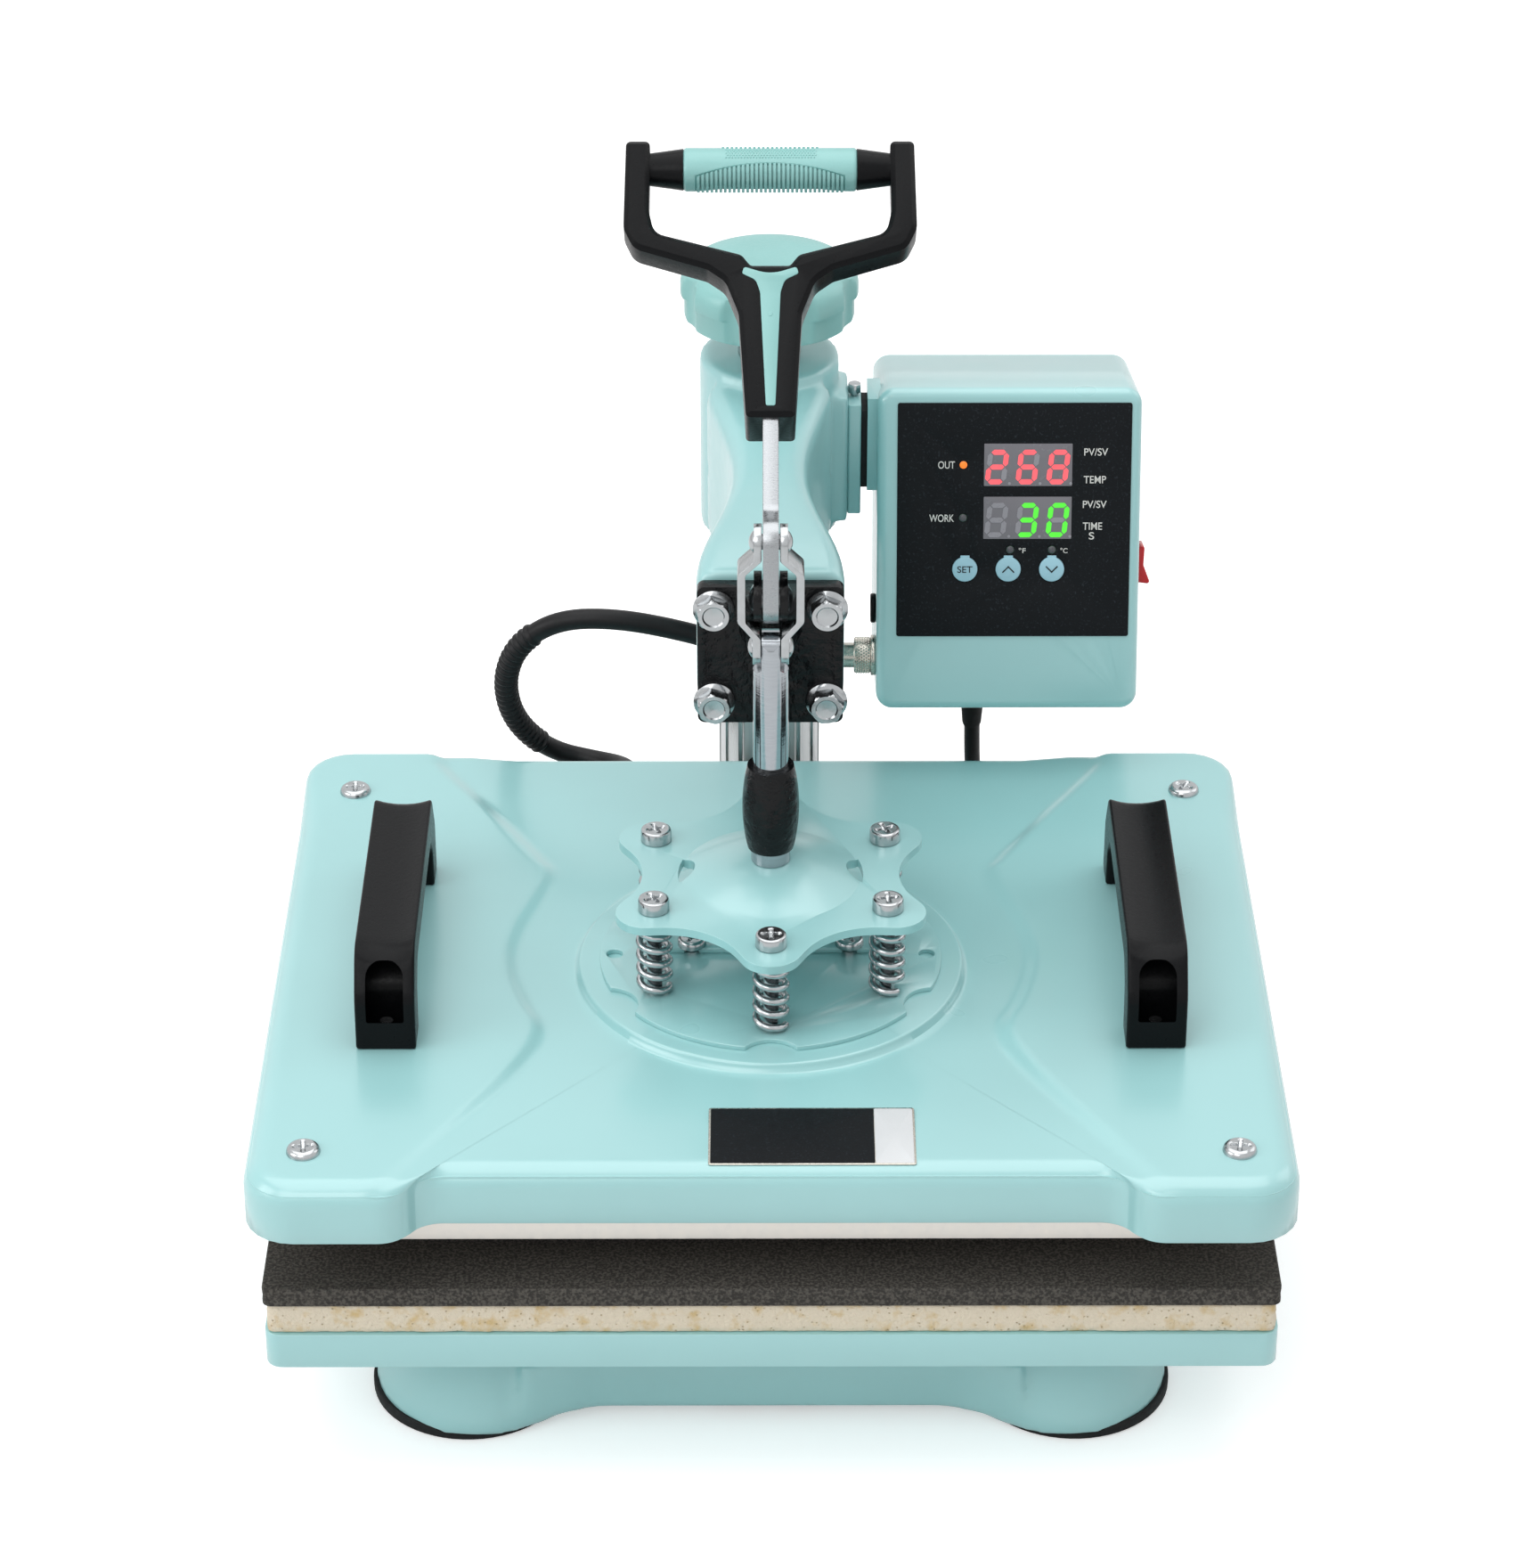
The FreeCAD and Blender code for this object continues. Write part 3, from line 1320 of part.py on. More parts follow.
def box_shell():
    body = prism(box_plan(0.0, box_corner), -box_inside, 0)
    body = body.makeFillet(box_round, top_edges(body, 0.0))
    hollow = prism(box_plan(box_wall, box_corner - box_wall), -box_inside - 1, -box_wall)
    shell = body.cut(hollow)
    posts = []
    for x, y in box_screw_places():
        post = rod(box_screw_radius * 2.4, -box_inside, -box_inside + 14, x, y)
        side = x + math.copysign(box_screw_inset - 1, x)
        rib = box(min(x, side), max(x, side), y - 1, y + 1, -box_inside, -box_inside + 14)
        posts.append(join([post, rib]).cut(rod(box_screw_radius + screw_fit, -box_inside - 1,
                                               -box_inside + 10, x, y)))
    x0 = bracket_x + bracket_thick + gasket_thick
    flange = box(x0, box_left + box_wall, column_y - bracket_half, column_y + bracket_half,
                 flange_low, flange_high)
    flange.Placement = box_frame().inverse().multiply(flange.Placement)
    shell = join([shell, flange] + posts)
    tools = [display_hole(red_y, 0.2, -box_wall - 1, 1), display_hole(green_y, 0.2, -box_wall - 1, 1)]
    tools += [rod(button_radius + button_gap, -box_wall - 1, 1, x, button_y) for x in button_places()]
    tools += [rod(lamp_radius + button_gap, -box_wall - 1, 1, x, y) for x, y in lamp_places()]
    half = box_width / 2
    tools.append(box(half - box_wall - 1, half + 1, rocker_y - rocker_length / 2 - 1 - slip,
                     rocker_y + rocker_length / 2 + 1 + slip, -rocker_depth - rocker_width / 2 - 1 - slip,
                     -rocker_depth + rocker_width / 2 + 1 + slip))
    tools.append(bar(fuse_radius - 1.2, V(-half - 1, fuse_y, -fuse_depth),
                     V(-half + box_wall + 1, fuse_y, -fuse_depth)))
    tools.append(press_axis_in_box(V(box_left - 3, plug_y, plug_z), V(box_left + 4, plug_y, plug_z),
                                   plug_flange_radius - 2))
    tools.append(press_axis_in_box(V(cord_x, cord_y, box_front_z - 60), V(cord_x, cord_y, box_front_z),
                                   cord_gland_radius + screw_fit))
    for z in bracket_screw_levels():
        tools.append(press_axis_in_box(V(x0 - 1, column_y, z), V(box_left + box_wall, column_y, z),
                                       bracket_screw_radius + slip))
    return on_box(cut(shell, tools))


def box_back_cover():
    plate = prism(box_plan(0.0, box_corner), -box_depth, -box_inside)
    holes = [rod(box_screw_radius + slip, -box_depth - 1, -box_inside + 1, x, y)
             for x, y in box_screw_places()]
    for i in range(7):
        x = (i - 3) * 9.0
        holes.append(prism(rectangle(x - 1.5, x + 1.5, 90, 112, 1.4), -box_depth - 1, -box_inside + 1))
    return on_box(cut(plate, holes))


def box_screws():
    screws = []
    for x, y in box_screw_places():
        shank = rod(box_screw_radius, -box_depth, -box_inside + 9, x, y)
        head = rod(box_screw_radius * 1.9, -box_depth - 1.8, -box_depth, x, y)
        screws.append(on_box(join([shank, head])))
    return Part.makeCompound(screws)


def control_panel():
    half = panel_width / 2
    plate = prism(rectangle(panel_x - half, panel_x + half, panel_low, panel_low + panel_height, 1),
                  0, panel_thick)
    tools = [display_hole(red_y, -0.6, -1, 2), display_hole(green_y, -0.6, -1, 2)]
    tools += [rod(button_radius + button_gap, -1, 2, x, button_y) for x in button_places()]
    tools += [rod(lamp_radius + button_gap, -1, 2, x, y) for x, y in lamp_places()]
    return on_box(cut(plate, tools))


def display_module(y):
    return on_box(display_hole(y, 0.0, -board_depth, -0.1))


def temperature_display():
    return display_module(red_y)


def timer_display():
    return display_module(green_y)


def circuit_board():
    """Board on its posts, with the relay behind it and the four lamps in front."""
    half = panel_width / 2 - 4
    board = box(panel_x - half, panel_x + half, button_y - 14, panel_low + panel_height - 5,
                -board_depth - board_thick, -board_depth)
    posts = [rod(2.0, -board_depth, -box_wall, panel_x + sx * (half - 4), y)
             for sx in (-1, 1) for y in (button_y - 9, panel_low + panel_height - 10)]
    back = -board_depth - board_thick
    relay = box(-30, -30 + relay_size * 1.4, 84, 84 + relay_size, back - relay_size, back)
    lamps = [rod(lamp_radius, -board_depth, panel_thick, x, y) for x, y in lamp_places()]
    return on_box(Part.makeCompound([join([board] + posts), relay] + lamps))


def transformer():
    """Supply transformer on the floor of the box: iron core and its winding."""
    size = transformer_size
    left = transformer_x - size / 2
    right = transformer_x + size / 2
    front = -transformer_depth
    top = box_wall + size * 0.9
    core = box(left, right, box_wall, top, front - size * 0.8, front)
    winding = box(left + size * 0.2, right - size * 0.2, top, top + size * 0.2,
                  front - size * 0.7, front - size * 0.1)
    return on_box(join([core, winding]))


def button_cap(x):
    low = -board_depth + button_travel + 0.1
    cap = rod(button_radius, -5, button_proud, x, button_y)
    stem = rod(button_radius * 0.45, low, -5, x, button_y)
    collar = rod(button_radius + 0.9, -5, -box_wall - 0.3, x, button_y)
    return on_box(join([cap, stem, collar]))


def set_button():
    return button_cap(button_places()[0])


def up_button():
    return button_cap(button_places()[1])


def down_button():
    return button_cap(button_places()[2])


def rocker_pivot():
    """Rocker pivot in the box's frame: along the depth of the box."""
    return V(box_width / 2 - 3.0, rocker_y, -rocker_depth)


def rocker_switch():
    """Rocker with a dished face, shown pressed in at the top."""
    half = rocker_length / 2 - 1.0
    surface = box_width / 2
    pin = rocker_pivot()
    wide = rocker_width / 2 - 0.4
    face = [(surface - 7, rocker_y - half * 0.55, 1), (surface + rocker_tip - 1.2, rocker_y - half, 1),
            (surface + rocker_tip - 3.0, rocker_y, 3), (surface + rocker_tip - 1.2, rocker_y + half, 1),
            (surface - 7, rocker_y + half * 0.55, 1)]
    body = prism(face, -rocker_depth - wide, -rocker_depth + wide)
    axle = bar(rocker_pin_radius, V(pin.x, pin.y, -rocker_depth - rocker_width / 2 - 0.8),
               V(pin.x, pin.y, -rocker_depth + rocker_width / 2 + 0.8))
    rocker = join([body, axle])
    rocker.rotate(pin, V(0, 0, 1), rocker_rest_tilt)
    return on_box(rocker)


def switch_housing():
    surface = box_width / 2
    rim = rocker_frame
    pin = rocker_pivot()
    long_half = rocker_length / 2
    wide_half = rocker_width / 2
    bezel = box(surface, surface + 1.6, rocker_y - long_half - rim, rocker_y + long_half + rim,
                -rocker_depth - wide_half - rim, -rocker_depth + wide_half + rim)
    body = box(surface - 16, surface, rocker_y - long_half - 1, rocker_y + long_half + 1,
               -rocker_depth - wide_half - 1, -rocker_depth + wide_half + 1)
    well = box(surface - 11, surface + 2, rocker_y - long_half, rocker_y + long_half,
               -rocker_depth - wide_half, -rocker_depth + wide_half)
    axle = bar(rocker_pin_radius + running, V(pin.x, pin.y, -rocker_depth - wide_half - 0.9),
               V(pin.x, pin.y, -rocker_depth + wide_half + 0.9))
    return on_box(cut(join([bezel, body]), [well, axle]))


def fuse_holder():
    half = box_width / 2
    cap = bar(fuse_radius, V(-half - 2.2, fuse_y, -fuse_depth), V(-half, fuse_y, -fuse_depth))
    body = bar(fuse_radius - 1.4, V(-half, fuse_y, -fuse_depth), V(-half + 24, fuse_y, -fuse_depth))
    return on_box(join([cap, body]))


# Connectors and cords


def cable_socket():
    """Flanged socket in the side of the box."""
    outside = box_left - plug_flange_thick
    flange = along_x(plug_flange_radius, outside, box_left, plug_y, plug_z)
    body = along_x(plug_flange_radius - 2.2, outside, box_left + 14, plug_y, plug_z)
    return join([flange, body])


def cable_plug():
    """Plug with its coupling ring and boot."""
    ring_end = box_left - plug_flange_thick
    ring_start = ring_end - plug_ring_length
    body_start = ring_start - plug_body_length
    ring = along_x(plug_ring_radius, ring_start, ring_end, plug_y, plug_z)
    body = along_x(plug_body_radius, body_start, ring_start, plug_y, plug_z)
    boot = Part.makeCone(plug_body_radius - 0.4, cable_radius + 0.3, plug_boot_length,
                         V(body_start, plug_y, plug_z), V(-1, 0, 0))
    return join([ring, body, boot])


def platen_cable():
    """Cable from the plug, past the front of the column, round into the cover's back."""
    start = V(box_left - plug_flange_thick - plug_ring_length - plug_body_length - plug_boot_length,
              plug_y, plug_z)
    end = V(gland_x, gland_face + gland_length, gland_z)
    hump = [(-17.5, 0, 0), (-36.5, -1, 5.3), (-59.5, -3, 13.8), (-85.5, -5, 20.3), (-109.5, -4, 19.3),
            (-126.5, 0, 6.3), (-133.5, 6, -12.6)]
    bend = [(-52, 19, 26.8), (-45, 27, 9.8), (-33, 33, -2.5), (-17.5, 33, -6.5), (-5, 24, -4), (0, 10.5, 0)]
    points = [start] + [start + V(*step) for step in hump] + [end + V(*step) for step in bend] + [end]
    return tube(points, cable_radius)


def box_under():
    """Height of the box's tilted underside above the mains cord's outlet."""
    return box_front_z - (cord_y - box_front_y) * math.tan(math.radians(box_tilt))


def cord_gland():
    low = box_under() - cord_gland_drop
    body = rod(cord_gland_radius, low, low + cord_gland_drop + 9, cord_x, cord_y)
    return body.cut(rod(cord_radius + 0.15, low - 1, low + cord_gland_drop + 10, cord_x, cord_y))


def coil_centre():
    outer = coil_radius + coil_wide * cord_radius
    return V(0, rear_lobe_y + rear_bar_depth / 2 + coil_gap + outer, 0)


def coil_touch():
    """Point where the cord runs into the coil's outer turn, and its direction there."""
    centre = coil_centre()
    outer_turn = coil_radius + (coil_wide - 1) * cord_radius
    reach = V(cord_corner_x, cord_corner_y, 0) - centre
    angle = math.atan2(reach.y, reach.x) + math.acos(outer_turn / reach.Length)
    touch = centre + V(math.cos(angle), math.sin(angle), 0) * outer_turn
    return touch + V(0, 0, cord_radius), V(-math.sin(angle), math.cos(angle), 0)


def mains_cord():
    """Mains cord from inside the box's gland down behind the rear foot to the coil."""
    fall = box_under()
    corner = V(cord_corner_x, cord_corner_y, cord_radius)
    touch, way = coil_touch()
    hang = [(0, 0, fall + cord_stub), (0, 0, fall - 40), (3, 12, fall * 0.555), (9, 36, fall * 0.436),
            (14, 64, fall * 0.29), (16, 80, fall * 0.132)]
    points = [V(cord_x + x, cord_y + y, z) for x, y, z in hang] + [corner, corner + way * cord_last_run]
    return tube(points, cord_radius)


def mains_coil():
    """Outer shape of the coiled cord, with its straight lead at each end."""
    centre = coil_centre()
    outer = coil_radius + coil_wide * cord_radius
    inner = coil_radius - coil_wide * cord_radius
    high = coil_high * 2 * cord_radius
    ring = turned([(inner, 0, 3), (outer, 0, 3), (outer, high, 3), (inner, high, 3)], centre.x, centre.y)
    touch, way = coil_touch()
    lead_in = bar(cord_radius, V(cord_corner_x, cord_corner_y, cord_radius) + way * cord_last_run, touch)
    start, out = plug_lead()
    lead_out = bar(cord_radius, start, start + out * coil_lead)
    return join([ring, lead_in, lead_out])


def plug_lead():
    """Tangent point and direction where the cord leaves the coil for the plug."""
    centre = coil_centre()
    outer_turn = coil_radius + (coil_wide - 1) * cord_radius
    turn = math.radians(plug_turn)
    start = centre + V(-math.sin(turn), math.cos(turn), 0) * outer_turn
    return start + V(0, 0, (coil_high * 2 - 1) * cord_radius), V(-math.cos(turn), -math.sin(turn), 0)


def mains_plug():
    """Moulded plug lying on the table, with two blades and a round pin."""
    start, out = plug_lead()
    tip = start + out * coil_lead
    half = tip.z
    wide = plug_width / 2
    relief = Part.makeCone(cord_radius + 1.2, half * 0.7, 12, V(0, 0, 0), V(-1, 0, 0))
    x1 = -12
    x0 = x1 - plug_length
    body = prism(rectangle(x0, x1, -wide, wide, 4), -half, half)
    blades = [box(x0 - blade_length, x0 + 1, side * 6.35 - 0.75, side * 6.35 + 0.75, -2.2, 4.2)
              for side in (-1, 1)]
    pin = bar(2.4, V(x0 + 1, 0, -5.5), V(x0 - blade_length - 2, 0, -5.5))
    return placed(join([relief, body, pin] + blades), tip, FreeCAD.Rotation(V(0, 0, 1), plug_turn))


NODES = {
    "base_casting": base_casting,
    "rubber_feet": rubber_feet,
    "lower_platen": lower_platen,
    "platen_bolts": platen_bolts,
    "sponge_pad": sponge_pad,
    "silicone_pad": silicone_pad,
    "column_tube": column_tube,
    "column_bushes": column_bushes,
    "spindle": spindle,
    "lead_screw": lead_screw,
    "pressure_knob": pressure_knob,
    "arm_casting": arm_casting,
    "control_bracket": control_bracket,
    "bracket_gasket": bracket_gasket,
    "bracket_screws": bracket_screws,
    "toggle_base": toggle_base,
    "flange_bolts": flange_bolts,
    "pivot_pin": pivot_pin,
    "lever_plate": lever_plate,
    "toggle_links": toggle_links,
    "link_rivets": link_rivets,
    "handle_frame": handle_frame,
    "handle_inlay": handle_inlay,
    "grip_sleeve": grip_sleeve,
    "plunger_rod": plunger_rod,
    "spider_plate": spider_plate,
    "springs": springs,
    "spring_screws": spring_screws,
    "platen_cover": platen_cover,
    "mounting_disc": mounting_disc,
    "clamp_strap": clamp_strap,
    "strap_screws": strap_screws,
    "heating_plate": heating_plate,
    "heating_element": heating_element,
    "insulation_board": insulation_board,
    "corner_screws": corner_screws,
    "side_handles": side_handles,
    "handle_screws": handle_screws,
    "cable_gland": cable_gland,
    "box_shell": box_shell,
    "box_back_cover": box_back_cover,
    "box_screws": box_screws,
    "control_panel": control_panel,
    "temperature_display": temperature_display,
    "timer_display": timer_display,
    "circuit_board": circuit_board,
    "transformer": transformer,
    "set_button": set_button,
    "up_button": up_button,
    "down_button": down_button,
    "rocker_switch": rocker_switch,
    "switch_housing": switch_housing,
    "fuse_holder": fuse_holder,
    "cable_socket": cable_socket,
    "cable_plug": cable_plug,
    "platen_cable": platen_cable,
    "cord_gland": cord_gland,
    "mains_cord": mains_cord,
    "mains_coil": mains_coil,
    "mains_plug": mains_plug,
}

os.makedirs("parts", exist_ok=True)
for node, make in NODES.items():
    shape = make()
    print(node, "solids", len(shape.Solids), "valid", shape.isValid(), "volume", round(shape.Volume))
    shape.exportStep("parts/" + node + ".step")
print(len(NODES), "nodes")
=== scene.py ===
"""Dressed model of a swing-away heat press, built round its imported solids."""

import math

import bmesh
import bpy
from bpy.props import FloatProperty, FloatVectorProperty, IntProperty, PointerProperty
from mathutils import Matrix, Vector, noise
from mathutils.geometry import tessellate_polygon


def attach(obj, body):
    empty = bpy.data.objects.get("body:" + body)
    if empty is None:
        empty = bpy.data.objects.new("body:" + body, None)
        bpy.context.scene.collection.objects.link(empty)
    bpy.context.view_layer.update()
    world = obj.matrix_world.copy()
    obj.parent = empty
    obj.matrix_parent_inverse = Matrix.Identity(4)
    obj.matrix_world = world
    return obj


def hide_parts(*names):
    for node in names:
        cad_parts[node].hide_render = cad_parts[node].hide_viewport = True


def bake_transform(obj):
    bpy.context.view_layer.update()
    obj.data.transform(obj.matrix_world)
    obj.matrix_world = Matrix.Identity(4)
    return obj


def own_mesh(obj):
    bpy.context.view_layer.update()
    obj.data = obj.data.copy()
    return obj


bl_info = {
    "name": "Heat press",
    "version": (1, 0, 0),
    "blender": (4, 5, 0),
    "location": "View3D > Sidebar > Heat press",
    "description": "Builds the pieces and finishes of a swing-away heat press",
    "category": "Add Mesh",
}

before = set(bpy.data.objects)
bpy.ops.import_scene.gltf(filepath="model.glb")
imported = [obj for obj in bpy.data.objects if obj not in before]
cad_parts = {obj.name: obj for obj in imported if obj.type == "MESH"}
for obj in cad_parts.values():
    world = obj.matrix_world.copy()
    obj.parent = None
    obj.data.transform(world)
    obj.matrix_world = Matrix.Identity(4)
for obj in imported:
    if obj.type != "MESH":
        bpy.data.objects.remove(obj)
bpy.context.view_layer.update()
MM = 0.001
# Axes of the plunger and the column, the cover's outline and height, and the lower platen's sheets, in metres
PLUNGER_Y = -0.054
COLUMN_Y = 0.146
COVER_HALF, COVER_FRONT, COVER_BACK, COVER_TOP = 0.195, -0.211, 0.112, 0.140
SPONGE_LOW, SPONGE_HIGH, SILICONE_HIGH = 0.068, 0.081, 0.089
PADS_FRONT, PADS_BACK = -0.202, 0.094
FINISHES = {}
# Slots of the finishes that have another name; a finish not listed is its own slot
LOOK_SLOTS = {
    "zinc": "steel", "column": "steel", "lamp": "display", "unlit": "display", "legend": "panel_black",
    "ink": "panel_black", "plate_black": "panel_black", "plate_white": "nickel", "red_light": "display",
    "green_light": "display", "lamp_light": "display",
}


# Colours and nodes


def linear(code):
    """Linear colour of an sRGB hex value."""
    parts = [int(code[i:i + 2], 16) / 255 for i in (1, 3, 5)]
    return tuple(c / 12.92 if c <= 0.04045 else ((c + 0.055) / 1.055) ** 2.4 for c in parts) + (1.0,)


def shaded(colour, share):
    """A colour made darker or lighter, at most white."""
    return tuple(min(c * share, 1.0) for c in colour[:3]) + (1.0,)


def add(tree, kind, settings=None, links=None):
    """Adds one node with its settings; links maps each input to a socket or a value."""
    node = tree.nodes.new(kind)
    for key, value in (settings or {}).items():
        setattr(node, key, value)
    for key, value in (links or {}).items():
        if isinstance(value, bpy.types.NodeSocket):
            tree.links.new(value, node.inputs[key])
        else:
            node.inputs[key].default_value = value
    return node


def finish(name, **values):
    """New material with one shader, and the coordinates that its patterns read."""
    material = bpy.data.materials.new(name)
    material.use_nodes = True
    tree = material.node_tree
    tree.nodes.clear()
    links = {key.replace("_", " "): value for key, value in values.items()}
    shader = add(tree, "ShaderNodeBsdfPrincipled", links=links)
    add(tree, "ShaderNodeOutputMaterial", links={"Surface": shader.outputs["BSDF"]})
    place = add(tree, "ShaderNodeTexCoord").outputs["Object"]
    return material, tree, shader, place


# Finishes


def wired(tree, shader, colour=None, rough=None, bump=None):
    """Wires colour (share, first, second), roughness (share, smooth, dull) and bump (height, depth).

    Roughness goes from smooth to dull where its share goes from 0.3 to 0.7, which noise mostly spans."""
    if colour:
        mixed = add(tree, "ShaderNodeMix", {"data_type": "RGBA"}, {0: colour[0], 6: colour[1], 7: colour[2]})
        tree.links.new(mixed.outputs[2], shader.inputs["Base Color"])
    if rough:
        sheen = add(tree, "ShaderNodeMapRange",
                    links={"Value": rough[0], 1: 0.3, 2: 0.7, 3: rough[1], 4: rough[2]})
        tree.links.new(sheen.outputs[0], shader.inputs["Roughness"])
    if bump:
        relief = add(tree, "ShaderNodeBump", links={"Height": bump[0], "Distance": bump[1]})
        tree.links.new(relief.outputs[0], shader.inputs["Normal"])


def powder_coat(name, colour, rough, peel, depth):
    """Polyester powder coat, sprayed and baked: satin under a clear gloss, with a slow tint.

    Real orange peel is about 1 mm wide, and is drawn wider to show. Sheet has none."""
    material, tree, shader, place = finish(name, IOR=1.5, Specular_IOR_Level=0.8, Coat_Weight=0.6,
                                           Coat_Roughness=0.16)
    cloud = add(tree, "ShaderNodeTexNoise", links={"Vector": place, "Scale": 1 / 0.09, "Detail": 3.0})
    tint = add(tree, "ShaderNodeMapRange", links={"Value": cloud.outputs[0], 1: 0.35, 2: 0.65})
    skin = add(tree, "ShaderNodeTexNoise", links={"Vector": place, "Scale": 1 / peel, "Detail": 0.0})
    sheen = add(tree, "ShaderNodeMath", {"operation": "MULTIPLY_ADD"},
                {0: skin.outputs[0], 1: 0.08, 2: rough - 0.04})
    tree.links.new(sheen.outputs[0], shader.inputs["Roughness"])
    wired(tree, shader, (tint.outputs[0], shaded(colour, 0.965), colour),
          bump=(skin.outputs[0], depth) if depth else None)
    return material


def moulded(name, colour, rough, texture=0.0012, depth=0.00005, gloss=0.5):
    """Injection-moulded plastic: even colour with the fine grain of a spark-eroded mould."""
    material, tree, shader, place = finish(name, IOR=1.48, Specular_IOR_Level=gloss)
    cloud = add(tree, "ShaderNodeTexNoise", links={"Vector": place, "Scale": 1 / 0.03, "Detail": 2.0})
    grain = add(tree, "ShaderNodeTexNoise", links={"Vector": place, "Scale": 1 / texture, "Detail": 2.0})
    wired(tree, shader, (cloud.outputs[0], shaded(colour, 0.88), shaded(colour, 1.1)),
          (grain.outputs[0], rough - 0.05, rough + 0.06), (grain.outputs[0], depth))
    return material


def metal(name, colour, rough, size=0.004, stretch=(1.0, 1.0, 1.0), depth=0.00002):
    """Bare or plated metal: its marks are drawn out along the way that it was worked."""
    material, tree, shader, place = finish(name, Metallic=1.0)
    along = add(tree, "ShaderNodeMapping", links={"Vector": place, "Scale": stretch})
    marks = add(tree, "ShaderNodeTexNoise",
                links={"Vector": along.outputs[0], "Scale": 1 / size, "Detail": 3.0}).outputs[0]
    wired(tree, shader, (marks, shaded(colour, 0.8), shaded(colour, 1.12)),
          (marks, rough * 0.75, rough * 1.35), (marks, depth))
    return material


def gloss_enamel(name, colour):
    """Thick gloss enamel over rough cast iron: wavy shine, with lumps 4 mm wide and pin holes, the pin holes
    painted darker as painted shade.
    """
    material, tree, shader, place = finish(name, IOR=1.52, Specular_IOR_Level=0.2)
    lumps = add(tree, "ShaderNodeTexNoise", links={"Vector": place, "Scale": 1 / 0.004, "Detail": 4.0})
    holes = add(tree, "ShaderNodeTexVoronoi", links={"Vector": place, "Scale": 1 / 0.0035})
    pinhole_shade_and_dent = add(tree, "ShaderNodeMapRange", links={"Value": holes.outputs["Distance"], 1: 0.05, 2: 0.14})
    dented = add(tree, "ShaderNodeMath", {"operation": "MULTIPLY"}, {0: lumps.outputs[0], 1: pinhole_shade_and_dent.outputs[0]})
    # pin holes painted darker: painted shade inside them; the same mask also dents the bump
    wired(tree, shader, (pinhole_shade_and_dent.outputs[0], shaded(colour, 0.4), colour), (lumps.outputs[0], 0.12, 0.3),
          (dented.outputs[0], 0.0007))
    return material


def foam_rubber(name, colour, speckle):
    """Closed-cell silicone sponge sheet: matt and dark, its cut edge full of 1 to 2 mm cells."""
    material, tree, shader, place = finish(name, IOR=1.41, Specular_IOR_Level=0.3)
    cells = add(tree, "ShaderNodeTexVoronoi", links={"Vector": place, "Scale": 1 / 0.0017})
    specks = add(tree, "ShaderNodeTexNoise", links={"Vector": place, "Scale": 1 / 0.0011, "Detail": 3.0})
    edge = add(tree, "ShaderNodeMapRange", links={"Value": specks.outputs[0], 1: 0.42, 2: 0.62})
    wired(tree, shader, (edge.outputs[0], colour, speckle), (specks.outputs[0], 0.62, 0.86),
          (cells.outputs["Distance"], 0.00025))
    return material


def foam_latex(name, cream, stain):
    """Open-cell latex sponge: crumbly cream foam, yellowed in patches 6 mm wide, with 2 mm pores painted
    darker inside as painted shade.
    """
    material, tree, shader, place = finish(name, Roughness=0.92, IOR=1.4)
    patch = add(tree, "ShaderNodeTexNoise", links={"Vector": place, "Scale": 1 / 0.006, "Detail": 3.0})
    aged = add(tree, "ShaderNodeMapRange", links={"Value": patch.outputs[0], 1: 0.52, 2: 0.72})
    foam = add(tree, "ShaderNodeMix", {"data_type": "RGBA"}, {0: aged.outputs[0], 6: cream, 7: stain})
    pores = add(tree, "ShaderNodeTexVoronoi", links={"Vector": place, "Scale": 1 / 0.0024})
    wall = add(tree, "ShaderNodeMapRange", links={"Value": pores.outputs["Distance"], 1: 0.03, 2: 0.2})
    crumbs = add(tree, "ShaderNodeTexNoise", links={"Vector": place, "Scale": 1 / 0.0014, "Detail": 4.0})
    height = add(tree, "ShaderNodeMath", {"operation": "MULTIPLY"},
                 {0: crumbs.outputs[0], 1: wall.outputs[0]})
    # pores painted darker: painted shade inside the cells; the same wall mask also shapes the pore bump
    wired(tree, shader, (wall.outputs[0], shaded(stain, 0.7), foam.outputs[2]),
          bump=(height.outputs[0], 0.0008))
    return material


def printed_film(name, colour):
    """Polycarbonate overlay printed on its back: near-black satin film with a fine pale speckle."""
    material, tree, shader, place = finish(name, IOR=1.45, Specular_IOR_Level=0.12)
    specks = add(tree, "ShaderNodeTexNoise", links={"Vector": place, "Scale": 1 / 0.0009, "Detail": 2.0})
    fleck = add(tree, "ShaderNodeMapRange", links={"Value": specks.outputs[0], 1: 0.58, 2: 0.74})
    wired(tree, shader, (fleck.outputs[0], colour, shaded(colour, 3.2)), (specks.outputs[0], 0.42, 0.55),
          (specks.outputs[0], 0.00003))
    return material


def glowing(name, colour, strength):
    """Lit diode behind a diffusing lens: its own light, a little uneven across the segment."""
    material, tree, shader, place = finish(name, Roughness=0.4, Emission_Strength=strength)
    cloud = add(tree, "ShaderNodeTexNoise", links={"Vector": place, "Scale": 1 / 0.004, "Detail": 1.0})
    light = add(tree, "ShaderNodeMix", {"data_type": "RGBA"},
                {0: cloud.outputs[0], 6: shaded(colour, 0.85), 7: shaded(colour, 1.15)})
    tree.links.new(light.outputs[2], shader.inputs["Emission Color"])
    wired(tree, shader, (cloud.outputs[0], shaded(colour, 0.4), shaded(colour, 0.5)))
    return material


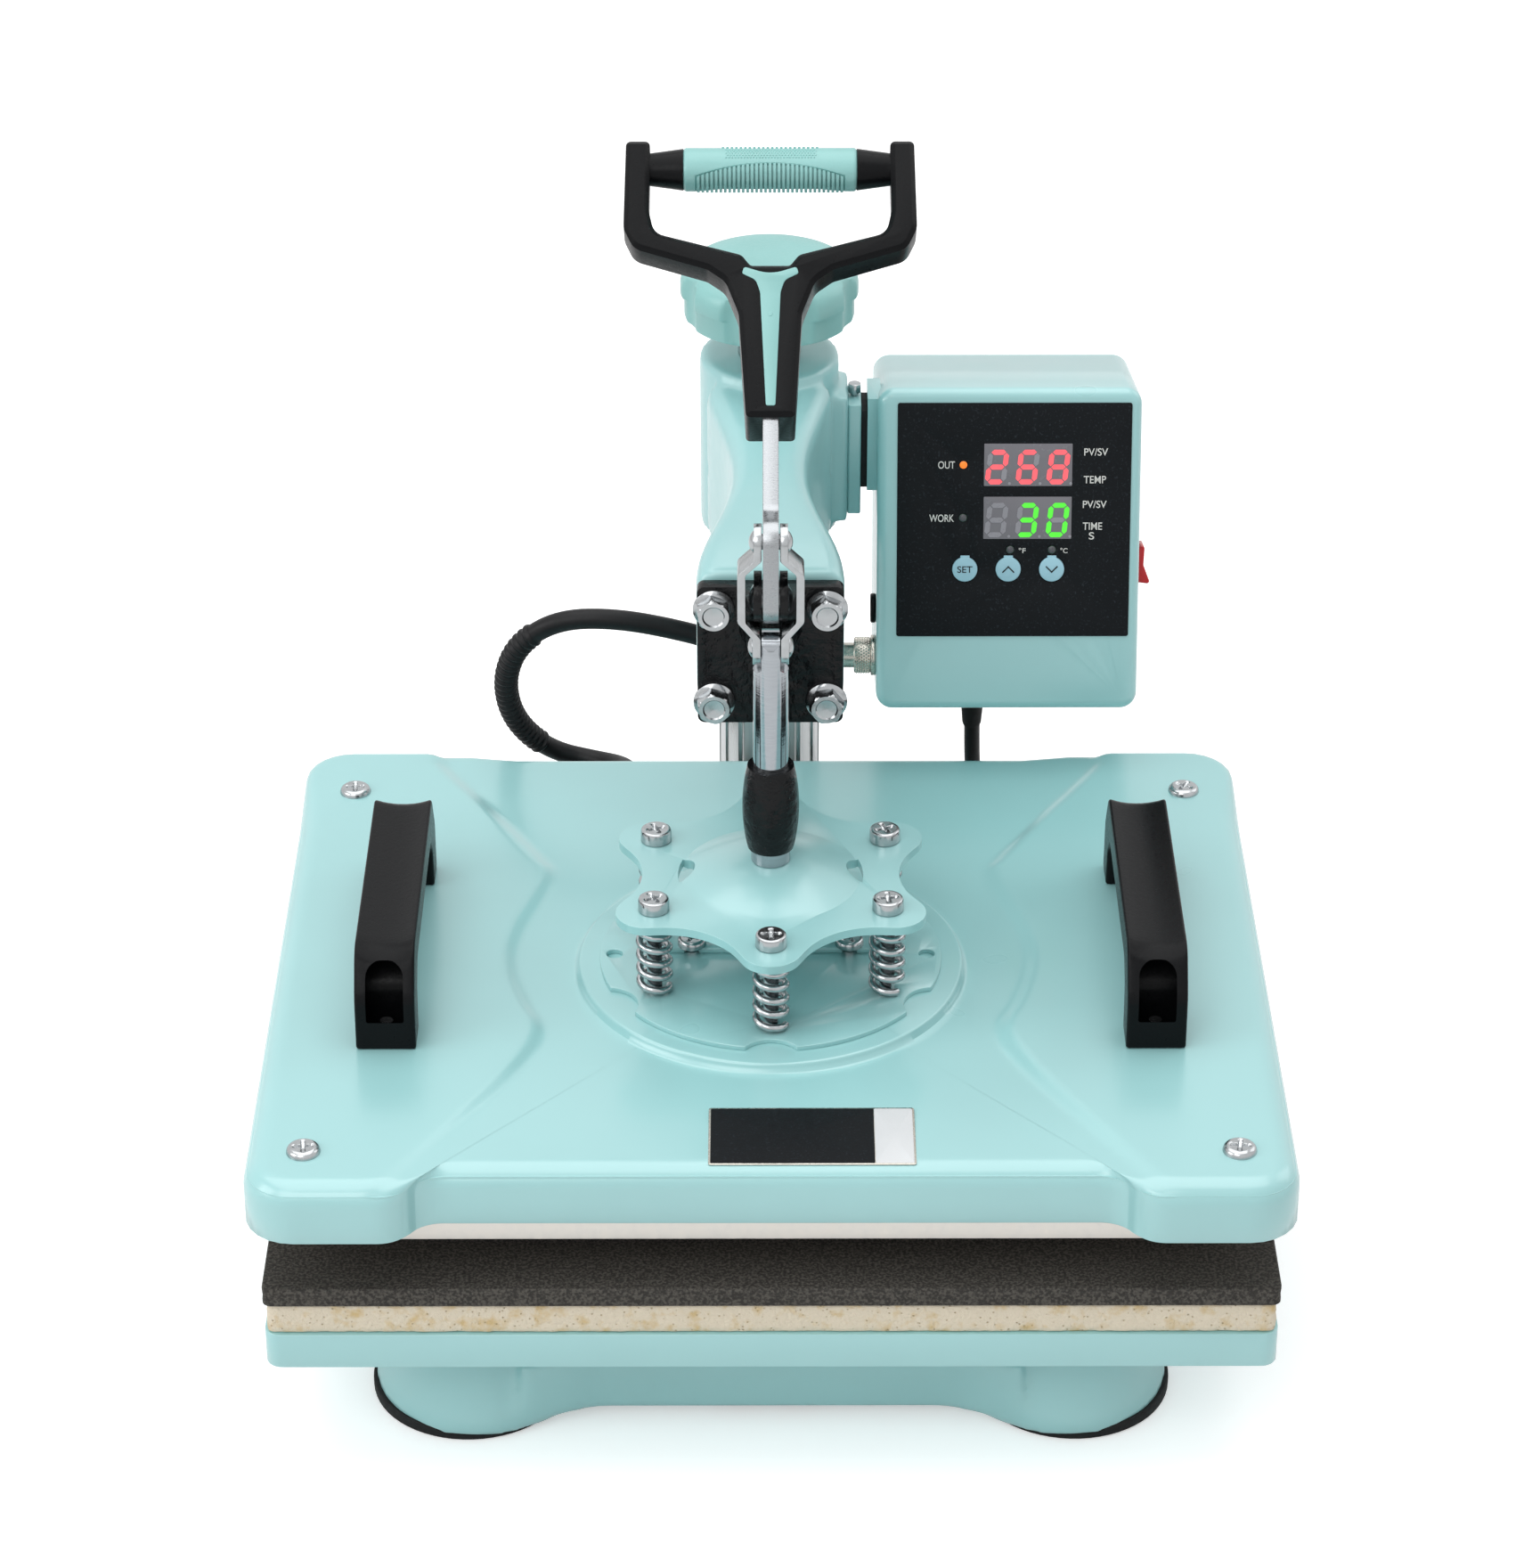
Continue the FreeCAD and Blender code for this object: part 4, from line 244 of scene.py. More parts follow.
def fibre(name, colour, fleck):
    """Pressed fibre or laminate board, with flecks 4 mm long lying along its sheet."""
    material, tree, shader, place = finish(name, IOR=1.5)
    along = add(tree, "ShaderNodeMapping", links={"Vector": place, "Scale": (1.0, 1.0, 3.0)})
    flecks = add(tree, "ShaderNodeTexNoise",
                 links={"Vector": along.outputs[0], "Scale": 1 / 0.004, "Detail": 4.0}).outputs[0]
    wired(tree, shader, (flecks, colour, fleck), (flecks, 0.55, 0.75), (flecks, 0.0001))
    return material


# Meshes


def linked(name, data):
    """New object in the scene."""
    piece = bpy.data.objects.new(name, data)
    bpy.context.scene.collection.objects.link(piece)
    return piece


def evaluated(piece):
    """Mesh that an object shows, with its modifiers, as a mesh of its own."""
    bpy.context.view_layer.update()
    return bpy.data.meshes.new_from_object(piece.evaluated_get(bpy.context.evaluated_depsgraph_get()))


def new_piece(name, verts, faces):
    """Object of its own from points in metres and faces."""
    mesh = bpy.data.meshes.new(name)
    mesh.from_pydata([tuple(v) for v in verts], [], faces)
    return linked(name, mesh)


def dress(piece, body, look, replaced=(), crease=35.0):
    """Finish, shading, body and replaced nodes of a piece whose mesh is final."""
    piece.data.materials.clear()
    piece.data.materials.append(FINISHES[look])
    piece.data.shade_smooth()
    piece.data.set_sharp_from_angle(angle=math.radians(crease))
    if body:
        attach(piece, body)
    if replaced:
        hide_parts(*replaced)
    LOOK_SLOTS.get(look, look)
    return piece


def baked(piece):
    """Puts the mesh that a piece's modifiers make in their place."""
    mesh = evaluated(piece)
    piece.modifiers.clear()
    piece.data = mesh
    return piece


def tidied(piece, merge=0.0):
    """Merges doubles, where asked, and turns the faces of a closed mesh outwards."""
    work = bmesh.new()
    work.from_mesh(piece.data)
    if merge:
        bmesh.ops.remove_doubles(work, verts=work.verts, dist=merge)
        bmesh.ops.dissolve_degenerate(work, dist=merge / 2, edges=work.edges)
        bmesh.ops.dissolve_limit(work, angle_limit=math.radians(0.6), verts=work.verts, edges=work.edges)
    bmesh.ops.recalc_face_normals(work, faces=work.faces)
    work.to_mesh(piece.data)
    work.free()
    return piece


def node_copy(name, node):
    """Piece with the mesh of a node, its doubles merged."""
    return tidied(linked(name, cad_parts[node].data.copy()), 0.00002)


def softened(name, node, width, steps=2):
    """Copy of a node with its edges broken, as paint or moulding leaves them."""
    piece = node_copy(name, node)
    bevel = piece.modifiers.new("edges", "BEVEL")
    bevel.width = width
    bevel.segments = steps
    bevel.limit_method = "ANGLE"
    bevel.angle_limit = math.radians(32.0)
    return baked(piece)


def cast(name, node, voxel, passes, fillings=()):
    """Copy of a node with the run-together corners of a sand casting.

    The fillings (x, y, radius, z0, z1) close recesses whose walls are thinner than a voxel."""
    discs = [at(ringed("filling", [circle(radius, z0), circle(radius, z1)]), Matrix.Translation((x, y, 0.0)))
             for x, y, radius, z0, z1 in fillings]
    piece = joined(name, [node_copy(name, node)] + discs)
    skin = piece.modifiers.new("skin", "REMESH")
    skin.mode = "VOXEL"
    skin.voxel_size = voxel
    flow = piece.modifiers.new("flow", "SMOOTH")
    flow.factor = 0.5
    flow.iterations = passes
    return baked(piece)


def quads(rings, count):
    """Faces of a skin over rings of count points each."""
    return [(base + i, base + (i + 1) % count, base + count + (i + 1) % count, base + count + i)
            for base in range(0, (rings - 1) * count, count) for i in range(count)]


def ringed(name, rings):
    """Skin over rings of equal count, each a list of points, with its ends closed by fans."""
    count = len(rings[0])
    verts = [Vector(p) for ring in rings for p in ring]
    faces = quads(len(rings), count)
    for base in (0, (len(rings) - 1) * count):
        verts.append(sum(verts[base:base + count], Vector()) / count)
        faces += [(len(verts) - 1, base + (i + 1) % count, base + i) for i in range(count)]
    return tidied(new_piece(name, verts, faces))


def joined(name, pieces):
    """One mesh from several pieces, which go."""
    verts, faces = [], []
    for piece in pieces:
        base = len(verts)
        verts += [v.co.copy() for v in piece.data.vertices]
        faces += [tuple(base + i for i in p.vertices) for p in piece.data.polygons]
        bpy.data.objects.remove(piece)
    return new_piece(name, verts, faces)


def eased(t):
    """Smooth rise from 0 to 1 while t does."""
    t = min(1.0, max(0.0, t))
    return t * t * (3 - 2 * t)


def circle(radius, z, steps=64):
    """Points of a flat circle about the Z axis."""
    return [Vector((radius * math.cos(a), radius * math.sin(a), z))
            for a in (2 * math.pi * i / steps for i in range(steps))]


def outline(corners, steps=6, divide=None):
    """Points round closed corners (x, y, radius); divide is how many parts each straight has."""
    rounds = []
    for i, (x, y, radius) in enumerate(corners):
        here = Vector((x, y))
        before = Vector(corners[i - 1][:2]) - here
        after = Vector(corners[(i + 1) % len(corners)][:2]) - here
        half = before.angle(after) / 2
        if radius <= 0:
            rounds.append([here])
            continue
        back = min(radius / math.tan(half), 0.48 * before.length, 0.48 * after.length)
        size = back * math.tan(half)
        centre = here + (before.normalized() + after.normalized()).normalized() * size / math.sin(half)
        first = here + before.normalized() * back - centre
        last = here + after.normalized() * back - centre
        turn = math.atan2(last.y, last.x) - math.atan2(first.y, first.x)
        turn = (turn + math.pi) % (2 * math.pi) - math.pi
        rounds.append([centre + Matrix.Rotation(turn * k / steps, 2) @ first for k in range(steps + 1)])
    points = []
    for i, arc in enumerate(rounds):
        points += arc
        following = rounds[(i + 1) % len(rounds)][0]
        parts = divide[i] if divide else 1
        points += [arc[-1].lerp(following, k / parts) for k in range(1, parts)]
    return points


def straights(corners, spacing):
    """Parts of each straight of an outline that keep to a spacing."""
    return [max(1, round((Vector(corners[(i + 1) % len(corners)][:2]) - Vector(c[:2])).length / spacing))
            for i, c in enumerate(corners)]


def rectangle(x0, x1, y0, y1, radius):
    """Corners of a rounded rectangle."""
    return [(x0, y0, radius), (x1, y0, radius), (x1, y1, radius), (x0, y1, radius)]


def slab(name, x0, x1, y0, y1, z0, z1, radius, edge):
    """Rounded rectangle, standing from z0 to z1, with its top edge rounded."""
    rings, steps = [], 3
    for inset, z in [(0, z0)] + [(edge * (1 - math.cos(a)), z1 - edge + edge * math.sin(a))
                                 for a in (math.pi / 2 * k / steps for k in range(steps + 1))]:
        corners = rectangle(x0 + inset, x1 - inset, y0 + inset, y1 - inset, max(radius - inset, edge / 10))
        rings.append([Vector((p.x, p.y, z)) for p in outline(corners)])
    return ringed(name, rings)


def at(piece, matrix):
    """Moves a finished mesh into its place."""
    piece.data.transform(matrix)
    piece.data.update()
    return piece


def to_box():
    """From the control box's own frame (across, up the panel, out of it) to the press."""
    return Matrix.Translation(Vector((99.0, 96.0, 168.5)) * MM) @ Matrix.Rotation(math.radians(75.0), 4, "X")


def to_handle():
    """From the lever handle's frame (across, along, out of its face) to the press."""
    return Matrix.Translation(Vector((0.0, -54.0, 313.0)) * MM) @ Matrix.Rotation(math.radians(43.0), 4, "X")


def grown(name, look, sizes, make):
    """Plain mesh of a Geometry Nodes tree whose named inputs are its sizes."""
    tree = bpy.data.node_groups.new(name, "GeometryNodeTree")
    tree.interface.new_socket("Geometry", in_out="INPUT", socket_type="NodeSocketGeometry")
    tree.interface.new_socket("Geometry", in_out="OUTPUT", socket_type="NodeSocketGeometry")
    for key, value in sizes.items():
        kind = "NodeSocketInt" if isinstance(value, int) else "NodeSocketFloat"
        tree.interface.new_socket(key, in_out="INPUT", socket_type=kind)
    given = add(tree, "NodeGroupInput").outputs
    real = add(tree, "GeometryNodeRealizeInstances", links={0: make(tree, given)})
    dyed = add(tree, "GeometryNodeSetMaterial", links={0: real.outputs[0], "Material": FINISHES[look]})
    add(tree, "NodeGroupOutput", links={0: dyed.outputs[0]})
    piece = new_piece(name, [(0, 0, 0)], [])
    maker = piece.modifiers.new("maker", "NODES")
    maker.node_group = tree
    for item in tree.interface.items_tree:
        if item.in_out == "INPUT" and item.name in sizes:
            maker[item.identifier] = sizes[item.name]
    return baked(piece)


def screw_head(radius, height, rim, cross, deep, shank=0.0, length=0.0):
    """Cross-head screw as a height field: rounded rim, recess, and its shank below."""
    steps, levels = 56, 20
    rings = []
    for i in range(1, levels + 1):
        r = radius * i / levels
        edge = max(0.0, (r - (radius - rim)) / rim)
        top = height - rim * (1 - math.sqrt(max(0.0, 1 - edge * edge)))
        ring = []
        for p in circle(r, 0.0, steps):
            wide = 0.2 * cross
            arm = min(max(abs(p.x) / wide, abs(p.y) / cross), max(abs(p.y) / wide, abs(p.x) / cross))
            slope = min(1.0, max(0.0, (1.2 - arm) / 0.35)) if r < cross * 1.3 else 0.0
            ring.append(Vector((p.x, p.y, top - deep * slope * (1 - 0.5 * r / cross))))
        rings.append(ring)
    rings.append(circle(radius, 0.0, steps))
    if shank:
        rings += [circle(shank, 0.0, steps), circle(shank, -length, steps)]
    return ringed("screw_head", rings)


def hexagon_head(flange, thick, flats, height):
    """Hexagon head forged in one with its washer face, chamfered and dished on top."""
    steps = 96
    rings = [circle(flange, 0.0, steps), circle(flange, thick * 0.4, steps),
             circle(flange - thick * 0.6, thick * 0.85, steps)]
    corner = flats / math.sqrt(3)
    for cap, z in ((1.1, thick), (1.1, thick + height * 0.74), (0.985, thick + height * 0.82),
                   (0.93, thick + height * 0.93), (0.86, thick + height), (0.64, thick + height),
                   (0.56, thick + height * 0.9), (0.1, thick + height * 0.86)):
        ring = []
        for p in circle(1.0, z, steps):
            a = math.atan2(p.y, p.x)
            side = (a + math.pi / 6) % (math.pi / 3) - math.pi / 6
            r = min(flats / 2 / math.cos(side), cap * corner)
            ring.append(Vector((r * p.x, r * p.y, z)))
        rings.append(ring)
    return ringed("hexagon_head", rings)


# Thickness of printed words and marks
INK = 0.00012


def screw_set(name, head, sizes, most, seed):
    """Heads on a circle (Count) or at the corners of a rectangle (Across), each turned by up to most."""
    def make(tree, given):
        if "Count" in sizes:
            spots = add(tree, "GeometryNodeMeshCircle",
                        links={"Vertices": given["Count"], "Radius": given["Circle radius"]})
        else:
            spots = add(tree, "GeometryNodeMeshGrid", links={
                "Size X": given["Across"], "Size Y": given["Along"], "Vertices X": 2, "Vertices Y": 2})
        shape = add(tree, "GeometryNodeObjectInfo", links={"Object": head})
        turn = add(tree, "FunctionNodeRandomValue", {"data_type": "FLOAT_VECTOR"},
                   {0: (0.0, 0.0, 0.0), 1: (0.0, 0.0, most), "Seed": seed})
        return add(tree, "GeometryNodeInstanceOnPoints", links={
            "Points": spots.outputs[0], "Instance": shape.outputs["Geometry"],
            "Rotation": turn.outputs[0]}).outputs[0]

    piece = grown(name, "zinc", sizes, make)
    bpy.data.objects.remove(head)
    return piece


def word(name, text, height, width, x, y, z):
    """Raised lettering of a cap height and width, with its middle at x, y."""
    curve = bpy.data.curves.new(name, "FONT")
    curve.body = text
    curve.extrude = 0.01
    curve.offset = 0.005
    letters = linked(name, curve)
    mesh = evaluated(letters)
    bpy.data.objects.remove(letters)
    low = Vector([min(v.co[i] for v in mesh.vertices) for i in range(3)])
    high = Vector([max(v.co[i] for v in mesh.vertices) for i in range(3)])
    size = high - low
    move = Matrix.Translation((x, y, z + INK / 2)) @ Matrix.Diagonal(
        (width / size.x, height / size.y, INK / size.z, 1.0)) @ Matrix.Translation(-(low + high) / 2)
    mesh.transform(move)
    return linked(name, mesh)


def stroke(name, points, wide, z):
    """Raised line of one width along flat points."""
    parts = []
    for a, b in zip(points, points[1:]):
        a, b = Vector(a), Vector(b)
        way = (b - a).normalized() * wide / 2
        side = Vector((-way.y, way.x))
        loop = [a - way + side, a - way * 1.3, a - way - side, b + way - side, b + way * 1.3, b + way + side]
        parts.append(ringed("part", [[Vector((p.x, p.y, h)) for p in loop] for h in (z, z + INK)]))
    return joined(name, parts)


# Sizes and colours


class PressColours(bpy.types.PropertyGroup):
    """Colours of the painted and moulded pieces"""
    mint: FloatVectorProperty(name="Mint", description="Powder coat on castings and sheet", subtype="COLOR",
                              default=linear("#9CCFD0")[:3], min=0.0, max=1.0)
    grip: FloatVectorProperty(name="Grip", description="Moulded grip, inlay and knob", subtype="COLOR",
                              default=linear("#86BDBA")[:3], min=0.0, max=1.0)
    black: FloatVectorProperty(name="Black", description="Enamel and nylon", subtype="COLOR",
                               default=linear("#0D0E10")[:3], min=0.0, max=1.0)
    button: FloatVectorProperty(name="Buttons", description="Keys of the control box", subtype="COLOR",
                                default=linear("#A3CFDE")[:3], min=0.0, max=1.0)
    rocker: FloatVectorProperty(name="Rocker", description="Power switch", subtype="COLOR",
                                default=linear("#D3121D")[:3], min=0.0, max=1.0)


class PressCover(bpy.types.PropertyGroup):
    """Pressed cover of the upper platen"""
    step: FloatProperty(name="Crease step", description="Height of the pressed step", default=0.0026,
                        min=0.0, max=0.004, unit="LENGTH")
    crease: FloatProperty(name="Crease width", description="Width of the pressed step", default=0.008,
                          min=0.002, max=0.02, unit="LENGTH")
    edge: FloatProperty(name="Edge radius", description="Round of the cover's top edge", default=0.009,
                        min=0.002, max=0.012, unit="LENGTH")
    wall: FloatProperty(name="Sheet", description="Thickness of the pressed sheet", default=0.0015,
                        min=0.0005, max=0.003, unit="LENGTH")


class PressSprings(bpy.types.PropertyGroup):
    """Springs and screws between the spider and the upper platen"""
    circle: FloatProperty(name="Spring circle", description="Radius that springs and screws stand on",
                          default=0.052, min=0.03, max=0.06, unit="LENGTH")
    count: IntProperty(name="Springs", description="Springs and screws on the circle", default=6,
                       min=3, max=8)
    wire: FloatProperty(name="Spring wire", description="Radius of the spring wire", default=0.0015,
                        min=0.0005, max=0.002, unit="LENGTH")
    turns: FloatProperty(name="Spring turns", description="Turns of each spring", default=5.0,
                         min=3.0, max=9.0)


class PressPads(bpy.types.PropertyGroup):
    """Sponge and silicone sheets on the lower platen"""
    torn: FloatProperty(name="Sponge edge", description="How far the cut sponge edge wanders",
                        default=0.0006, min=0.0, max=0.002, unit="LENGTH")
    edge: FloatProperty(name="Silicone edge", description="Round of the silicone sheet's edges",
                        default=0.0006, min=0.0001, max=0.003, unit="LENGTH")


class PressGrip(bpy.types.PropertyGroup):
    """Ribs of the lever's grip"""
    pitch: FloatProperty(name="Rib pitch", description="From one rib to the next", default=0.00172,
                         min=0.0008, max=0.005, unit="LENGTH")
    radius: FloatProperty(name="Grip radius", description="Outside of the sleeve", default=0.0083,
                          min=0.006, max=0.012, unit="LENGTH")


class PressCords(bpy.types.PropertyGroup):
    """Cable to the upper platen and mains lead"""
    cable: FloatProperty(name="Platen cable", description="Diameter of the cable to the platen",
                         default=0.0086, min=0.004, max=0.012, unit="LENGTH")
    lead: FloatProperty(name="Mains lead", description="Diameter of the mains lead", default=0.0068,
                        min=0.004, max=0.01, unit="LENGTH")


class PressStage(bpy.types.PropertyGroup):
    """Camera and lights"""
    lens: FloatProperty(name="Lens", description="Focal length", default=107.56, min=20.0, max=300.0,
                        subtype="DISTANCE_CAMERA")
    key: FloatProperty(name="Top light", description="Power of the overhead softbox in watts", default=34.0,
                       min=0.0, max=500.0)
    room: FloatProperty(name="Room light", description="Strength of the even light all round", default=0.5,
                        min=0.0, max=3.0)


# Pieces


NODE_LOOKS = {
    "mint_cast": ["base_casting", "arm_casting"],
    "mint_sheet": ["lower_platen", "control_bracket", "box_shell", "box_back_cover", "spider_plate",
                   "platen_cover", "mounting_disc", "clamp_strap"],
    "black_paint": ["toggle_base"],
    "rubber_black": ["rubber_feet", "bracket_gasket"],
    "sponge": ["sponge_pad"],
    "silicone": ["silicone_pad"],
    "ptfe_aluminium": ["heating_plate"],
    "steel": ["spindle", "lever_plate", "transformer", "heating_element"],
    "zinc": ["platen_bolts", "bracket_screws", "flange_bolts", "pivot_pin", "box_screws", "lead_screw",
             "toggle_links", "link_rivets", "strap_screws", "spring_screws", "springs", "corner_screws",
             "handle_screws"],
    "chrome": ["plunger_rod"],
    "column": ["column_tube"],
    "bronze": ["column_bushes"],
    "black_plastic": ["switch_housing", "fuse_holder", "cord_gland", "cable_gland", "handle_frame",
                      "side_handles"],
    "mint_plastic": ["pressure_knob", "handle_inlay", "grip_sleeve"],
    "panel_black": ["control_panel"],
    "display": ["temperature_display", "timer_display"],
    "button_blue": ["set_button", "up_button", "down_button"],
    "switch_red": ["rocker_switch"],
    "board": ["circuit_board"],
    "mica": ["insulation_board"],
    "nickel": ["cable_socket", "cable_plug"],
    "cable_black": ["platen_cable", "mains_cord", "mains_coil", "mains_plug"],
}


class PRESS_OT_finishes(bpy.types.Operator):
    """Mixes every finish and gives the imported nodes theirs"""
    bl_idname = "press.finishes"
    bl_label = "Finishes"

    def execute(self, context):
        colours = context.scene.press_colours
        mint, grip, black, button, rocker = (tuple(getattr(colours, key)) + (1.0,) for key in (
            "mint", "grip", "black", "button", "rocker"))
        # After the colour: roughness, size and depth of the grain in metres, and gloss
        FINISHES.update({
            # powder coat on sand-cast aluminium: satin over a slightly lumpy skin
            "mint_cast": powder_coat("powder_coat_on_casting", mint, 0.36, 0.005, 0.00008),
            # powder coat on pressed steel: smoother and glossier
            "mint_sheet": powder_coat("powder_coat_on_sheet", mint, 0.3, 0.02, 0.0),
            # enamel brushed on iron: deep black with a wavy shine
            "black_paint": gloss_enamel("enamel_on_iron", black),
            # moulded nitrile rubber: dull and even
            "rubber_black": moulded("nitrile_rubber", linear("#141516"), 0.68, 0.002, 0.0001, 0.3),
            # injection-moulded nylon: satin, fine grain
            "black_plastic": moulded("glass_filled_nylon", black, 0.32, 0.0014, 0.00005, 0.12),
            # injection-moulded ABS: soft satin in the machine's own tint
            "mint_plastic": moulded("moulded_abs", grip, 0.36, gloss=0.8),
            # smoked acrylic window: dull grey-mauve with clean gloss
            "display": moulded("smoked_acrylic", linear("#77757B"), 0.22, 0.003, 0.00002),
            # moulded silicone keys: pale and soft
            "button_blue": moulded("silicone_key", button, 0.42),
            # moulded polycarbonate: glossy red
            "switch_red": moulded("polycarbonate_rocker", rocker, 0.2, 0.003, 0.00001),
            # extruded PVC sheath: dull black with fine drag marks
            "cable_black": moulded("pvc_sheath", linear("#121214"), 0.42, 0.0018, 0.00006, 0.25),
            # unlit diode lenses and segments: clouded grey
            "lamp": moulded("unlit_diode", linear("#4C4D52"), 0.3),
            "unlit": moulded("unlit_segment", linear("#96949B"), 0.3),
            # screen-printed inks: matt
            "legend": moulded("screen_ink_white", linear("#D8D8D4"), 0.55),
            "ink": moulded("screen_ink_dark", linear("#0E1A20"), 0.55),
            # anodised label plate: black field and white field with a bare rim
            "plate_black": printed_film("anodised_plate_black", linear("#0E1114")),
            "plate_white": moulded("anodised_plate_white", linear("#D5D8DA"), 0.35),
            # sponge sheets
            "sponge": foam_latex("latex_sponge", linear("#DED3BE"), linear("#D0B88A")),
            "silicone": foam_rubber("silicone_sponge", linear("#302E2B"), linear("#56534E")),
            # spray-coated aluminium: dull warm grey, faintly metallic
            "ptfe_aluminium": metal("ptfe_coated_aluminium", linear("#DEDAD4"), 0.5),
            # extruded and anodised tube: soft streaks up its length
            "column": metal("extruded_aluminium", linear("#CDCFD0"), 0.3, 0.0016, (1.0, 1.0, 0.04), 0.00003),
            # rolled steel blanks: fine lines across the lever
            "steel": metal("cold_rolled_steel", linear("#A3A6A9"), 0.28, 0.0015, (1.0, 1.0, 8.0), 0.00006),
            # zinc electroplate: bright and slightly clouded
            "zinc": metal("bright_zinc_plate", linear("#B4B7B9"), 0.2, 0.003),
            # ground and chromed rod: mirror with fine rings
            "chrome": metal("hard_chrome", linear("#A9AEB3"), 0.1, 0.002, (0.2, 0.2, 3.0)),
            # sintered bronze: warm and porous
            "bronze": metal("sintered_bronze", linear("#A9834F"), 0.45, 0.001),
            # satin nickel plate on turned brass
            "nickel": metal("satin_nickel_plate", linear("#C2BFB6"), 0.24, 0.002),
            # polyester film printed black
            "panel_black": printed_film("printed_overlay_film", linear("#14171A")),
            # boards
            "board": fibre("glass_fibre_laminate", linear("#1E5A38"), linear("#276B45")),
            "mica": fibre("mica_board", linear("#CDC4AB"), linear("#A8987A")),
            # lit diodes: red and green segments, orange lamp
            "red_light": glowing("lit_segment_red", linear("#FF5F68"), 0.9),
            "green_light": glowing("lit_segment_green", linear("#55E83A"), 0.85),
            "lamp_light": glowing("lit_diode_orange", linear("#FF7A26"), 1.1),
        })
        for look, nodes in NODE_LOOKS.items():
            for node in nodes:
                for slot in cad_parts[node].material_slots:
                    slot.material = FINISHES[look]
        return {"FINISHED"}


class PRESS_OT_stage(bpy.types.Operator):
    """Camera, lights, white backdrop and floor"""
    bl_idname = "press.stage"
    bl_label = "Stage"

    def execute(self, context):
        settings = context.scene.press_stage
        scene = context.scene
        scene.view_settings.view_transform = "Standard"
        camera = linked("photo_camera", bpy.data.cameras.new("photo_camera"))
        camera.data.lens = settings.lens
        camera.data.sensor_width = 36.0
        camera.data.sensor_fit = "AUTO"
        camera.data.clip_end = 50.0
        camera.location = Vector((-5.15, -1611.56, 1129.26)) * MM
        camera.rotation_euler = (math.radians(90.0 - 30.27), 0.0, math.radians(-0.123))
        scene.camera = camera

        world = bpy.data.worlds.new("studio")
        scene.world = world
        world.use_nodes = True
        tree = world.node_tree
        tree.nodes.clear()
        path = add(tree, "ShaderNodeLightPath")
        seen = add(tree, "ShaderNodeMath", {"operation": "MAXIMUM"},
                   {0: path.outputs["Is Camera Ray"], 1: path.outputs["Is Transmission Ray"]})
        both = add(tree, "ShaderNodeMath", {"operation": "MAXIMUM"},
                   {0: seen.outputs[0], 1: path.outputs["Is Glossy Ray"]})
        white = (1.0, 1.0, 1.0, 1.0)
        room = add(tree, "ShaderNodeBackground", links={"Color": white, "Strength": settings.room})
        backdrop = add(tree, "ShaderNodeBackground", links={"Color": white, "Strength": 1.0})
        mixed = add(tree, "ShaderNodeMixShader",
                    links={0: both.outputs[0], 1: room.outputs[0], 2: backdrop.outputs[0]})
        add(tree, "ShaderNodeOutputWorld", links={"Surface": mixed.outputs[0]})

        for name, place, size, power in (
                ("overhead_softbox", (-0.1, 0.25, 2.4), 2.6, settings.key),
                ("front_softbox", (-0.8, -2.0, 2.0), 1.4, settings.key * 0.45),
                ("left_softbox", (-2.1, -0.8, 1.4), 1.4, settings.key * 0.45),
                ("right_softbox", (1.9, 1.0, 1.6), 1.4, settings.key * 0.2)):
            light = bpy.data.lights.new(name, "AREA")
            light.shape = "SQUARE"
            light.size = size
            light.energy = power
            lamp = linked(name, light)
            lamp.location = place
            way = Vector((0.0, 0.0, 0.15)) - Vector(place)
            lamp.rotation_euler = way.to_track_quat("-Z", "Y").to_euler()

        floor = new_piece("floor", [(x * 9.0, y * 9.0, -0.0003) for x, y in
                                    ((-1, -1), (1, -1), (1, 1), (-1, 1))], [(0, 1, 2, 3)])
        paper = bpy.data.materials.new("backdrop_paper")
        paper.use_nodes = True
        tree = paper.node_tree
        tree.nodes.clear()
        matt = add(tree, "ShaderNodeBsdfDiffuse", links={"Color": linear("#EEEEEE")})
        path = add(tree, "ShaderNodeLightPath")
        glow = add(tree, "ShaderNodeMath", {"operation": "MULTIPLY_ADD"},
                   {0: path.outputs["Is Glossy Ray"], 1: 0.12,
                    2: add(tree, "ShaderNodeMath", {"operation": "MULTIPLY"},
                           {0: path.outputs["Is Camera Ray"], 1: 0.42}).outputs[0]})
        light = add(tree, "ShaderNodeEmission", links={"Color": white, "Strength": glow.outputs[0]})
        total = add(tree, "ShaderNodeAddShader", links={0: matt.outputs[0], 1: light.outputs[0]})
        add(tree, "ShaderNodeOutputMaterial", links={"Surface": total.outputs[0]})
        floor.data.materials.append(paper)
        return {"FINISHED"}


# Route points in millimetres, as the solids have them
CABLE_ROUTE = [
    (21.5, 116, 183.7), (4, 116, 183.7), (-15, 115, 189), (-38, 113, 197.5), (-64, 111, 204),
    (-88, 112, 203), (-105, 116, 190), (-112, 122, 171.1), (-111, 130, 150.3), (-104, 138, 133.3),
    (-92, 144, 121), (-76.5, 144, 117), (-64, 135, 119.5), (-59, 121.5, 123.5), (-59, 111, 123.5),
]
LEAD_ROUTE = [
    (88, 160, 151.35), (88, 160, 111.35), (91, 172, 84.0), (97, 196, 66.0), (102, 224, 43.9),
    (104, 240, 20.0), (94, 272, 3.4),
]
